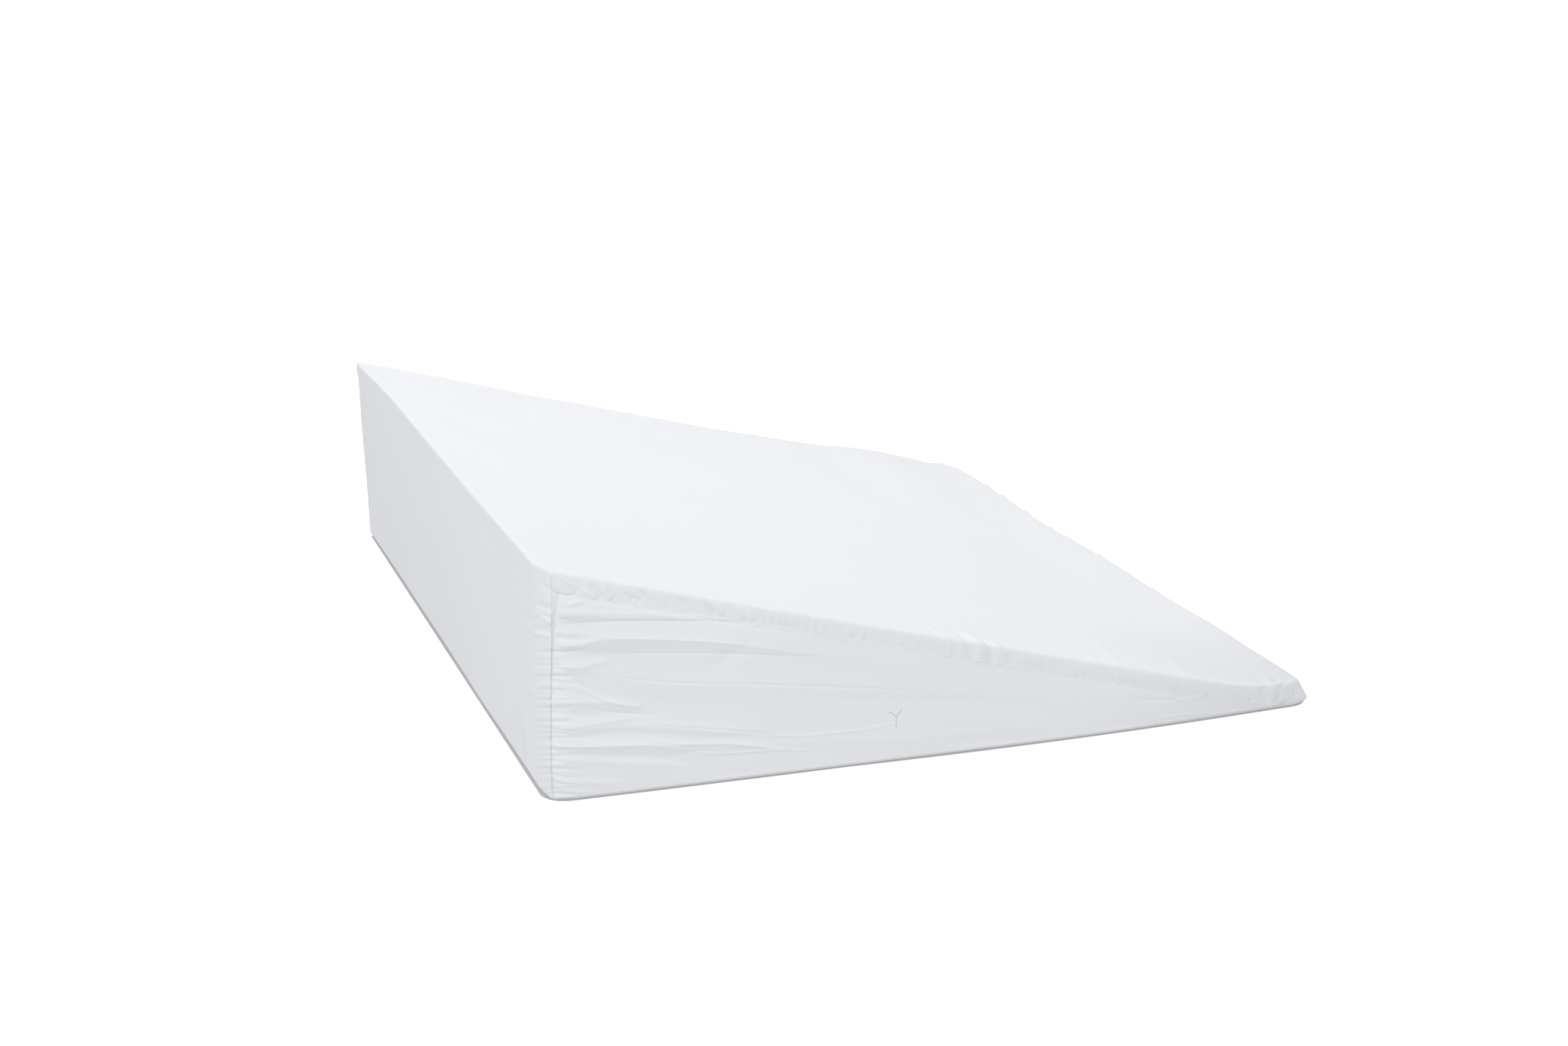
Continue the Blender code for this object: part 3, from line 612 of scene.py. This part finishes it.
def gather_rows(rows):
    """The near gathers as crease lines that start behind the corner and end in the panel."""
    lines = []
    for row in rows:
        start = (GATHER_BEHIND, row["from"])
        seam = (0.006, row["from"] - GATHER_DROP)
        end = (row["to"], row["from"] - 1.6 * GATHER_DROP)
        lines.append({"path": (start, seam, end), "spread": GATHER_SPREAD, "rise": -0.8 * row["depth"]})
    return lines


def on_side_plane(points):
    """Where the lines from the camera to the points cross the upright plane of the near side,
    as x from the back and z. The near creases are drawn in that plane."""
    eye = camera_place()
    share = (-HALF - eye[1]) / (points[..., 1] - eye[1])
    x = eye[0] + (points[..., 0] - eye[0]) * share - BACK_X
    return x, eye[2] + (points[..., 2] - eye[2]) * share


def grid_normals(points, wrap):
    """Unit normals of a grid surface: the cross product of its two directions' differences."""
    if wrap:
        first = np.roll(points, -1, axis=1) - np.roll(points, 1, axis=1)
    else:
        first = np.gradient(points, axis=1)
    return unit(np.cross(np.gradient(points, axis=0), first))


def grid_faces(rows, columns, wrap):
    """Corner addresses of the quads of a grid, as (row, column) pairs; wrap closes the columns."""
    j, i = np.meshgrid(np.arange(rows - 1), np.arange(columns if wrap else columns - 1), indexing="ij")
    j, i = j.ravel(), i.ravel()
    row = np.stack([j, j, j + 1, j + 1], axis=1)
    column = np.stack([i, i + 1, i + 1, i], axis=1)
    return row, column


def close_ring(ring, first):
    """Close a hole behind a ring of corners: a wall of quads to a second ring, whose corners
    are numbered from first on, and a fan of triangles from there to a hub after them."""
    count = len(ring)
    inner = first + np.arange(count)
    wall = np.stack([ring, np.roll(ring, -1), np.roll(inner, -1), inner], axis=1)
    fan = np.stack([inner, np.roll(inner, -1), np.full(count, first + count)], axis=1)
    return wall, fan


def mesh_object(name, points, faces, uv, material):
    """An object of a closed mesh: points, arrays of faces with the same number of corners each,
    and a UV pair for every corner. Edges where the cloth is cut or turned in stay sharp."""
    data = bpy.data.meshes.new(name)
    corners = np.concatenate([part.ravel() for part in faces])
    sizes = np.concatenate([np.full(len(part), part.shape[1]) for part in faces])
    data.vertices.add(len(points))
    data.vertices.foreach_set("co", points.astype(np.float32).ravel())
    data.loops.add(len(corners))
    data.loops.foreach_set("vertex_index", corners.astype(np.int32))
    data.polygons.add(len(sizes))
    data.polygons.foreach_set("loop_start", (np.cumsum(sizes) - sizes).astype(np.int32))
    data.update(calc_edges=True)
    layer = data.uv_layers.new(name="cloth")
    layer.data.foreach_set("uv", uv.astype(np.float32).ravel())
    data.shade_smooth()
    data.set_sharp_from_angle(angle=SHARP_ANGLE)
    data.validate()
    item = bpy.data.objects.new(name, data)
    bpy.context.collection.objects.link(item)
    data.materials.append(material)
    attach(item, "root")
    return item


def seam_roll(away, upright, z):
    """How far a cloth has rolled in at a distance from its nearest seam, and from the upright
    one: a bell for each, deepest at the seam. The upright seam is deepest near its top."""
    low, high = UPRIGHT_DEPTH
    more = low + (high - low) * smooth_step((z - UPRIGHT_DEEP_ABOVE) / 0.006)
    return SEAM_DEPTH * np.exp(-(away / SEAM_ROLL) ** 2) + more * np.exp(-(upright / SEAM_ROLL) ** 2)


def side_rows():
    """The rows of the wrap panel at one side, from the seam outwards: shares of the margin,
    then distances in from the side, at even steps along the turn of the top."""
    margin = np.array([0.0, 0.04, 0.08, 0.13, 0.19, 0.26, 0.34, 0.43, 0.52, 0.62, 0.72, 0.82, 0.91])
    inward = TURN_REACH * np.linspace(0, 1, 4000) ** 4
    steps = np.hypot(np.diff(inward), np.diff(drawn_in("top", inward, 1.0)))
    run = np.concatenate([[0], np.cumsum(steps)])
    return margin, np.interp(np.linspace(0, run[-1], TURN_ROWS), run, inward)


def wrap_surface():
    """The wrap panel as rows across the width by points round the section.

    Between the sides a row is a cross section. Over each turn the section is drawn in by a
    quarter ellipse. Over each margin it goes in a straight line from the end of the turn to
    the seam, where it rolls in.
    """
    margin, turn = side_rows()
    middle = np.linspace(-1, 1, MIDDLE_ROWS + 1)[1:-1] * (HALF - TURN_REACH)
    inward = np.concatenate([turn, np.full(len(middle), TURN_REACH), turn[::-1]])
    y = np.concatenate([-HALF + turn, middle, HALF - turn[::-1]])
    x, z = cross_sections(y, inward)
    rows = [soften(x, y[:, None] + 0 * x, z)]
    plain = [(x, y[:, None] + 0 * x, z)]
    away = [np.full(x.shape, 1.0)]
    for side, edge in ((-1, 0), (1, -1)):
        seam_x, seam_z = seam_outline(x[edge], z[edge], side * HALF)
        share = margin[:, None]
        mx = seam_x + (x[edge] - seam_x) * share
        mz = seam_z + (z[edge] - seam_z) * share
        gone = np.hypot(mx - seam_x, mz - seam_z)
        from_upright = np.hypot(mx - upright_seam(np.clip(mz, SEAM_ABOVE_GROUND, SEAM_TOP)),
                                np.clip(mz - SEAM_TOP, 0, None) + np.clip(SEAM_ABOVE_GROUND - mz, 0, None))
        my = side * (HALF - seam_roll(gone, from_upright, mz))
        if side < 0:
            rows.insert(0, soften(mx, my, mz))
            plain.insert(0, (mx, my, mz))
            away.insert(0, gone)
        else:
            rows.append(soften(mx, my, mz)[::-1])
            plain.append((mx[::-1], my[::-1], mz[::-1]))
            away.append(gone[::-1])
    points = np.concatenate(rows)
    px, py, pz = (np.concatenate([np.broadcast_to(p[k], p[0].shape) for p in plain]) for k in range(3))
    return points, px, py, pz


def seam_distances(points):
    """For each point, how far it lies along the cloth from the seam of its own side."""
    steps = np.linalg.norm(np.diff(points, axis=0), axis=-1)
    near = np.concatenate([np.zeros((1, points.shape[1])), np.cumsum(steps, axis=0)])
    far = np.concatenate([np.zeros((1, points.shape[1])), np.cumsum(steps[::-1], axis=0)])[::-1]
    return near, far


def make_wrap_panel(material):
    """The whole wrap panel: the surface above, with its puckers, wrinkles and ears, and a
    hidden closing sheet behind each side panel."""
    points, x, y, z = wrap_surface()
    normals = grid_normals(points, wrap=True)
    near, far = seam_distances(points)
    edges = np.cumsum((0,) + SECTION_STEPS)
    part_of = np.arange(points.shape[1])
    on_slope = ((part_of >= edges[2]) & (part_of < edges[3]))[None]
    on_back = (part_of >= edges[3])[None]
    hold = smooth_step(z / 0.004)
    from_corner = smooth_step((x - 0.012) / 0.022), smooth_step((HEIGHT - 0.014 - z) / 0.022)
    height = np.zeros(x.shape)
    for away, seed in ((near, 11), (far, 51)):
        lift = smooth_step(away / 0.0012)
        slant = -0.9 * np.exp(-(x / 0.12) ** 2)
        slope, back = on_slope * lift * from_corner[0], on_back * lift * from_corner[1]
        height += slope * puckers(x, away, 0.0072, 0.0085, 0.00055, seed, slant)
        height += slope * puckers(x, away, 0.0170, 0.0130, 0.00045, seed + 20, 0.4)
        height += back * puckers(z, away, 0.0066, 0.0100, 0.00060, seed + 30, 0.15)
        height += back * puckers(z, away, 0.0190, 0.0200, 0.00050, seed + 40, -0.3)
    close = near < CREASE_REACH + CREASE_FADE
    u, v = on_side_plane(points[close])
    drawn = creases(u, v, NEAR_CREASES) + creases(u, v, gather_rows(NEAR_GATHERS))
    drawn *= smooth_step((CREASE_REACH + CREASE_FADE - near[close]) / CREASE_FADE)
    share = smooth_step(near[close] / 0.003)[:, None]
    turned = unit(normals[close] * share + np.array((0, -1, 0)) * (1 - share))
    slope = on_slope * smooth_step((z - 0.002) / 0.006)
    height += slope * wrinkles(x, y, SLOPE_WRINKLES)
    height += on_back * wrinkles(y, z, BACK_WRINKLES)
    broad = 0.00045 * drift(x / 0.085 + 3, y / 0.11 + 9, 5) + 0.00025 * drift(x / 0.03 + 40, y / 0.045 + 20, 6)
    height += (on_slope | on_back) * broad * smooth_step(np.minimum(near, far) / 0.02)
    points = points + normals * (height * hold)[..., None]
    points[close] += turned * (drawn * hold[close])[:, None]
    points = lean(points)
    for ear in EARS:
        place = np.array(ear["at"]) + (BACK_X, 0, 0)
        near_it = np.exp(-(np.linalg.norm(points - place, axis=-1) / ear["reach"]) ** 2)
        points = points + near_it[..., None] * np.array(ear["push"])
    points[..., 2] = np.maximum(points[..., 2], 0.0)

    rows, columns = points.shape[:2]
    row, column = grid_faces(rows, columns, wrap=True)
    row, column = row[:, ::-1], column[:, ::-1]
    quads = row * columns + column % columns
    middle = rows // 2
    girth = np.linalg.norm(np.diff(points[middle], axis=0, append=points[middle, :1]), axis=-1)
    across = np.concatenate([[0], np.cumsum(np.linalg.norm(np.diff(points[:, edges[2] + 200], axis=0), axis=-1))])
    u = np.concatenate([[0], np.cumsum(girth)])
    uv = np.stack([u[column], across[row]], axis=-1)
    vertices, walls, fans = [points.reshape(-1, 3)], [], []
    for edge, side, order in ((0, -1, 1), (rows - 1, 1, -1)):
        ring = edge * columns + np.arange(columns)[::order]
        inner = points[edge][::order] - np.array((0, side * WALL_DEPTH, 0))
        first = sum(len(part) for part in vertices)
        wall, fan = close_ring(ring, first)
        vertices.extend((inner, inner.mean(axis=0)[None]))
        walls.append(wall)
        fans.append(fan)
    faces = [quads, np.concatenate(walls), np.concatenate(fans)]
    hidden = sum(part.size for part in faces[1:])
    uv = np.concatenate([uv.reshape(-1, 2), np.zeros((hidden, 2))])
    item = mesh_object("wrap_panel", np.concatenate(vertices), faces, uv, material)
    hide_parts("wrapped_body")
    return item


def make_side_panel(name, node, side, rows, seed, material):
    """A three-cornered sheet. Its columns run up from the lower to the sloping seam and its
    rows from the upright seam to the tip. This face carries the folds and puckers and rolls in
    at the seams. A wall one thickness deep and a plain fan close it behind."""
    share = np.linspace(0, 1, PANEL_COLUMNS)[:, None] ** 1.4 * 0.994
    up = np.linspace(0, 1, PANEL_ROWS)[None] ** 0.97
    seam_x = upright_seam(SEAM_TOP) * (1 - share) + SEAM_TIP * share
    high = sloping_seam(seam_x, side * HALF)
    z = SEAM_ABOVE_GROUND + (high - SEAM_ABOVE_GROUND) * up
    start = upright_seam(SEAM_ABOVE_GROUND + (SEAM_TOP - SEAM_ABOVE_GROUND) * up)
    x = start * (1 - share) + SEAM_TIP * share
    fall = math.hypot(1.0, HEIGHT / SLOPE_RUN)
    from_upright = np.maximum(x - upright_seam(z), 0)
    from_sloping = np.maximum(high - z, 0) / fall
    from_lower = z - SEAM_ABOVE_GROUND
    away = np.minimum(np.minimum(from_upright, from_sloping), from_lower)
    fullness = SHEET_FULLNESS * smooth_step(away / FULLNESS_REACH)
    free = smooth_step(from_upright / 0.002) * smooth_step(from_sloping / 0.0035) * smooth_step(from_lower / 0.003)
    lift = smooth_step(away / 0.0010)
    if side < 0:
        u, v = on_side_plane(soften(x, side * HALF + 0 * x, z))
        out = fullness + folds(u, v, rows) * free
        out += creases(u, v, NEAR_CREASES) + creases(u, v, gather_rows(NEAR_GATHERS))
    else:
        out = fullness + folds(x, z, rows) * free
    out += lift * puckers(z, from_upright, 0.0064, 0.0150, 0.00085, seed, 0.12)
    out += lift * puckers(z, from_upright, 0.0150, 0.0380, 0.00060, seed + 4, 0.22)
    out += lift * puckers(x, from_sloping, 0.0070, 0.0060, 0.00045, seed + 8, 0.3)
    out += lift * puckers(x, from_sloping, 0.0210, 0.0160, 0.00035, seed + 12, -0.4)
    out += 0.00030 * drift(x / 0.050 + 8, z / 0.016 + 5 + x / 0.09, seed + 16) * free
    out += 0.00012 * drift(x / 0.018 + 3, z / 0.006 + 2 + x / 0.03, seed + 17) * free
    outer = lean(soften(x, side * (HALF + out - seam_roll(away, from_upright, z)), z))
    columns, levels = x.shape
    row, column = grid_faces(columns, levels, wrap=False)
    quads = row * levels + column
    bottom = np.arange(columns) * levels
    end = (columns - 1) * levels + np.arange(levels)
    top = np.arange(columns)[::-1] * levels + levels - 1
    start = np.arange(levels)[::-1]
    ring = np.concatenate([bottom[:-1], end[:-1], top[:-1], start[:-1]])[::-1]
    if side < 0:
        quads = quads[:, ::-1]
    else:
        ring = ring[::-1]
    outer = outer.reshape(-1, 3)
    inner = outer[ring] - np.array((0, side * SHEET_THICK, 0))
    wall, fan = close_ring(ring, len(outer))
    faces = [quads, wall, fan]
    flat = np.stack([x, z], axis=-1).reshape(-1, 2)
    flat = np.concatenate([flat, flat[ring], flat[ring].mean(axis=0)[None]])
    uv = np.concatenate([flat[part.ravel()] for part in faces])
    points = np.concatenate([outer, inner, inner.mean(axis=0)[None]])
    item = mesh_object(name, points, faces, uv, material)
    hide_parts(node)
    return item


class Number:
    """A socket that holds a number. Adding, multiplying and so on add Math nodes."""

    def __init__(self, shader, socket):
        self.shader = shader
        self.socket = socket

    def combine(self, operation, first, second):
        return self.shader.number("ShaderNodeMath", {"operation": operation}, {0: first, 1: second})

    def __add__(self, other):
        return self.combine("ADD", self, other)

    __radd__ = __add__

    def __mul__(self, other):
        return self.combine("MULTIPLY", self, other)

    __rmul__ = __mul__

    def __sub__(self, other):
        return self.combine("SUBTRACT", self, other)

    def __rsub__(self, other):
        return self.combine("SUBTRACT", other, self)

    def sine(self):
        return self.combine("SINE", self, 0.0)

    def less_than(self, other):
        return self.combine("LESS_THAN", self, other)

    def most(self, other):
        return self.combine("MAXIMUM", self, other)

    def least(self, other):
        return self.combine("MINIMUM", self, other)


class Shader:
    """One material's node tree, made through two methods that add a node."""

    def __init__(self, name):
        self.material = bpy.data.materials.new(name)
        self.material.use_nodes = True
        self.tree = self.material.node_tree
        self.surface = self.tree.nodes["Principled BSDF"]

    def node(self, kind, settings=None, inputs=None):
        """Add a node: its settings first, then the value or link of each named socket."""
        made = self.tree.nodes.new(kind)
        for key, value in (settings or {}).items():
            setattr(made, key, value)
        for key, value in (inputs or {}).items():
            if isinstance(value, Number):
                value = value.socket
            if isinstance(value, bpy.types.NodeSocket):
                self.tree.links.new(value, made.inputs[key])
            else:
                made.inputs[key].default_value = value
        return made

    def number(self, kind, settings, inputs, output=0):
        """Add a node and wrap one of its outputs as a Number."""
        return Number(self, self.node(kind, settings, inputs).outputs[output])

    def noise(self, vector, scale, detail=2.0):
        """Smooth noise from 0 to 1 at a number of patches per metre."""
        inputs = {"Vector": vector, "Scale": scale, "Detail": detail, "Roughness": 0.5}
        return self.number("ShaderNodeTexNoise", {}, inputs)

    def blend(self, factor, first, second):
        """A colour between two others."""
        made = self.node("ShaderNodeMix", {"data_type": "RGBA"})
        for socket, value in (("Factor", factor.socket), ("A", first), ("B", second)):
            target = next(item for item in made.inputs if item.name == socket and item.enabled)
            if isinstance(value, bpy.types.NodeSocket):
                self.tree.links.new(value, target)
            else:
                target.default_value = value
        return next(item for item in made.outputs if item.enabled)

    def feed(self, socket, value):
        """Link a value into one socket of the surface."""
        if isinstance(value, Number):
            value = value.socket
        self.tree.links.new(value, self.surface.inputs[socket])


# Lights: the room's strength, and size in metres, watts and place of the others
ROOM_LIGHT = 0.70
CEILING_LIGHT = 0.50
KEY_SIZE = 1.0
KEY_LIGHT = 9.0
KEY_PLACE = (-1.25, -1.70, 1.20)
BOX_SIZE = 0.9
BOX_LIGHT = 3.0
BOX_PLACE = (-0.02, 0.30, 1.25)
FLOOR_GLOW = 0.70
FLOOR_REACH = 9.0        # the flat floor's radius, the bend from floor to wall, and the wall's top
WALL_BEND = 4.0
WALL_HEIGHT = 14.0
FOOT_RADIUS = 0.017      # corners of the cushion's foot, which the painted contact shadow follows
FOOT_BULGE_REACH = 0.19  # how far along the near side its bulge moves the foot
PAINTED_CONTACT_SHADOW = 0.0010   # painted contact shadow: the floor's emission is cut to black within this distance of the cushion

THREAD_PITCH = 0.00042   # one warp or weft thread of the cotton
THREADS_RISE = 0.00004
SLUB_RISE = 0.00009
CREASE_RISE = 0.00022
CLOTH_LIGHT = (0.850, 0.866, 0.892, 1.0)
CLOTH_SHADE = (0.815, 0.832, 0.862, 1.0)
SPECK_COLOUR = (0.30, 0.31, 0.33, 1.0)
HAIR_COLOUR = (0.500, 0.500, 0.500, 1.0)
PAINTED_SHADE_AT = (0.560, -0.330)   # painted shade: the cloth's colour is darkened a little towards this place at the tip
PAINTED_SHADE_REACH = 0.15
PAINTED_EDGE_SHADE_FROM = 0.490  # and painted shade a little over the thin front edge, from this x on
PAINTED_EDGE_SHADE = 0.030
PAINTED_SHADE_INSET = 0.006      # the wrap's painted shade is half as strong under the near edge, within this width


def make_cotton(name, specks, hair, painted_tip_shade, inset):
    """Plain woven white cotton. Height is the product of two sines for the weave, noise
    stretched along each thread direction for slubs, and soft noise for handling creases.
    Its colour also carries painted shade, darker towards the tip and over the thin front edge."""
    shader = Shader(name)
    place = shader.node("ShaderNodeTexCoord")
    flat = place.outputs["UV"]
    solid = place.outputs["Object"]
    parts = shader.node("ShaderNodeSeparateXYZ", inputs={"Vector": flat})
    along, across = Number(shader, parts.outputs["X"]), Number(shader, parts.outputs["Y"])
    turns = 2 * math.pi / (2 * THREAD_PITCH)
    weave = (along * turns).sine() * (across * turns).sine()
    warp = shader.node("ShaderNodeMapping", inputs={"Vector": flat, "Scale": (1.0, 0.06, 1.0)})
    weft = shader.node("ShaderNodeMapping", inputs={"Vector": flat, "Scale": (0.06, 1.0, 1.0)})
    slubs = shader.noise(warp.outputs["Vector"], 900.0) + shader.noise(weft.outputs["Vector"], 900.0)
    handled = shader.noise(solid, 42.0, 3.0)
    height = weave * THREADS_RISE + slubs * SLUB_RISE + handled * CREASE_RISE
    bump = shader.node("ShaderNodeBump", inputs={"Strength": 1.0, "Distance": 1.0, "Height": height})
    shader.feed("Normal", bump.outputs["Normal"])

    patches = shader.noise(solid, 9.0, 3.0) * 0.6 + slubs * 0.25
    colour = shader.blend(patches, CLOTH_LIGHT, CLOTH_SHADE)
    for x, y, z in specks:
        spot = (BACK_X + x, y, z)
        gap = shader.number("ShaderNodeVectorMath", {"operation": "DISTANCE"}, {0: solid, 1: spot}, "Value")
        colour = shader.blend(gap.less_than(SPECK_RADIUS), colour, SPECK_COLOUR)
    parts = shader.node("ShaderNodeSeparateXYZ", inputs={"Vector": solid})
    x, y, z = (Number(shader, parts.outputs[axis]) for axis in "XYZ")
    for (x0, z0), (x1, z1) in hair:
        u, v, du, dv = x - (BACK_X + x0), z - z0, x1 - x0, z1 - z0
        share = ((u * du + v * dv) * (1 / (du * du + dv * dv))).most(0.0).least(1.0)
        u, v = u - share * du, v - share * dv
        line = (u * u + v * v).less_than(HAIR_RADIUS ** 2) * y.less_than(0.0)
        colour = shader.blend(line, colour, HAIR_COLOUR)
    # painted shade: the base colour is darkened towards a place at the tip and over the thin front edge, where the
    # light falls off
    u, v = x - (BACK_X + PAINTED_SHADE_AT[0]), y - PAINTED_SHADE_AT[1]
    gone = (u * u + v * v) * (1 / PAINTED_SHADE_REACH ** 2)
    shade = (1.0 - gone.combine("SQRT", gone, 0.0)).most(0.0) * painted_tip_shade
    edge = ((x - (BACK_X + PAINTED_EDGE_SHADE_FROM)) * (1 / (LENGTH - PAINTED_EDGE_SHADE_FROM))).most(0.0)
    shade = shade + edge * PAINTED_EDGE_SHADE
    if inset > 0.0:
        shade = shade * (((y + HALF) * (0.5 / inset)).most(0.0).least(0.5) + 0.5)
    shader.feed("Base Color", shader.blend(shade, colour, (0.0, 0.0, 0.0, 1.0)))
    shader.feed("Roughness", slubs * 0.06 + 0.84)
    surface = shader.surface.inputs
    surface["Specular IOR Level"].default_value = 0.25
    surface["Sheen Weight"].default_value = 0.12
    surface["Sheen Roughness"].default_value = 0.45
    return shader.material


def make_floor():
    """A plain pale floor that bends up into a wall far out: a profile turned round the middle,
    flat, then a quarter circle, then upright. It glows a little, as a light table does, but
    a thin band round the foot of the cushion is painted black as its contact shadow."""
    bend = np.linspace(0, math.pi / 2, 13)
    out = np.concatenate([[0.0], FLOOR_REACH + WALL_BEND * np.sin(bend), [FLOOR_REACH + WALL_BEND]])
    rise = np.concatenate([[0.0], WALL_BEND * (1 - np.cos(bend)), [WALL_HEIGHT]])
    turn = np.linspace(0, 2 * math.pi, 73)[:-1]
    ring = np.stack([np.outer(out[1:], np.cos(turn)), np.outer(out[1:], np.sin(turn)),
                     np.repeat(rise[1:, None], len(turn), axis=1)], axis=-1)
    row, column = grid_faces(len(out) - 1, len(turn), wrap=True)
    quads = row * len(turn) + column % len(turn) + 1
    first = np.arange(len(turn)) + 1
    middle = np.stack([np.zeros_like(first), first, np.roll(first, -1)], axis=1)
    data = bpy.data.meshes.new("floor")
    data.from_pydata(np.concatenate([np.zeros((1, 3)), ring.reshape(-1, 3)]).tolist(), [],
                     middle.tolist() + quads[:, ::-1].tolist())
    data.shade_smooth()
    floor = bpy.data.objects.new("floor", data)
    bpy.context.collection.objects.link(floor)
    shader = Shader("pale_floor")
    solid = shader.node("ShaderNodeTexCoord").outputs["Object"]
    shader.feed("Roughness", shader.noise(solid, 3.0) * 0.1 + 0.75)
    parts = shader.node("ShaderNodeSeparateXYZ", inputs={"Vector": solid})
    x, y = Number(shader, parts.outputs["X"]) - BACK_X, Number(shader, parts.outputs["Y"])
    along = (x * (1 / LENGTH)).most(0.0).least(1.0)
    bulge = (x - LEANS[3]["at"][0]) * (1 / FOOT_BULGE_REACH)
    bulge = (1.0 - bulge * bulge).most(0.0) * y.less_than(0.0) * -LEANS[3]["push"][1]
    side = y.combine("ABSOLUTE", y, 0.0) - (along * (1.0 - along) * (4 * SIDE_BOW) + HALF + bulge)
    beyond = (0.0 - x).most(x - (LENGTH + FRONT_BOW))
    side, beyond = (side + FOOT_RADIUS).most(0.0), (beyond + FOOT_RADIUS).most(0.0)
    out = side.combine("SQRT", side * side + beyond * beyond, 0.0) - FOOT_RADIUS
    # painted contact shadow: the emission colour goes to black along the cushion's foot
    glow = (out * (1 / PAINTED_CONTACT_SHADOW) - 0.1).most(0.0).least(1.0)
    shader.feed("Emission Color", shader.blend(glow, (0.0, 0.0, 0.0, 1.0), (1.0, 1.0, 1.0, 1.0)))
    shader.surface.inputs["Base Color"].default_value = (0.55, 0.55, 0.55, 1.0)
    shader.surface.inputs["Emission Strength"].default_value = FLOOR_GLOW
    shader.surface.inputs["Specular IOR Level"].default_value = 0.1
    data.materials.append(shader.material)
    floor.visible_diffuse = False
    floor.visible_glossy = False
    floor.visible_shadow = False
    return floor


def make_camera():
    """The camera whose picture has the pillow's corners where the photograph has them."""
    data = bpy.data.cameras.new("camera")
    data.sensor_fit = "HORIZONTAL"
    data.sensor_width = SENSOR_MM
    data.lens = FOCAL_PIXELS / IMAGE_WIDTH * SENSOR_MM
    forward = np.array((math.sin(CAMERA_YAW) * math.cos(CAMERA_PITCH),
                        math.cos(CAMERA_YAW) * math.cos(CAMERA_PITCH),
                        -math.sin(CAMERA_PITCH)))
    right = np.array((math.cos(CAMERA_YAW), -math.sin(CAMERA_YAW), 0.0))
    up = np.cross(right, forward)
    place = camera_place()
    turned = Matrix([[right[k], up[k], -forward[k], place[k]] for k in range(3)] + [[0, 0, 0, 1]])
    camera = bpy.data.objects.new("camera", data)
    camera.matrix_world = turned
    bpy.context.collection.objects.link(camera)
    bpy.context.scene.camera = camera


def aim(item, place, target):
    """Put a light at a place so that it shines at a target."""
    back = unit(np.array(place) - np.array(target))
    right = unit(np.cross((0, 1, 0), back))
    up = np.cross(back, right)
    item.matrix_world = Matrix([[right[k], up[k], back[k], place[k]] for k in range(3)] + [[0, 0, 0, 1]])
    bpy.context.collection.objects.link(item)


def soft_light(name, size, watts, place, target):
    """A square soft light."""
    light = bpy.data.lights.new(name, "AREA")
    light.shape = "SQUARE"
    light.size = size
    light.energy = watts
    aim(bpy.data.objects.new(name, light), place, target)


def make_lights():
    """A white room of even light, a wide bright ceiling, a key light from the camera's left, and a soft box over the
    tall back, whose light thins out towards the tip."""
    world = bpy.data.worlds.new("studio")
    world.use_nodes = True
    world.node_tree.nodes["Background"].inputs["Color"].default_value = (1.0, 1.0, 1.0, 1.0)
    world.node_tree.nodes["Background"].inputs["Strength"].default_value = ROOM_LIGHT
    bpy.context.scene.world = world
    ceiling = bpy.data.lights.new("ceiling", "SUN")
    ceiling.energy = CEILING_LIGHT
    ceiling.angle = 3.1
    aim(bpy.data.objects.new("ceiling", ceiling), (0.0, 0.0, 3.0), (0.0, 0.0, 0.0))
    soft_light("key_light", KEY_SIZE, KEY_LIGHT, KEY_PLACE, (-0.15, -0.20, 0.08))
    soft_light("soft_box", BOX_SIZE, BOX_LIGHT, BOX_PLACE, (BOX_PLACE[0] + 0.05, BOX_PLACE[1], 0.0))


make_camera()
make_lights()
make_floor()
make_wrap_panel(make_cotton("wrap_cotton", SPECKS[2:], [], 0.10, PAINTED_SHADE_INSET))
side_cotton = make_cotton("side_cotton", SPECKS[:2], HAIR, 0.09, 0.0)
make_side_panel("near_panel", "side_panel_near", -1, NEAR_FOLDS, 101, side_cotton)
make_side_panel("far_panel", "side_panel_far", 1, FAR_FOLDS, 201, side_cotton)

bpy.context.scene.view_settings.view_transform = "Standard"
bpy.context.view_layer.update()
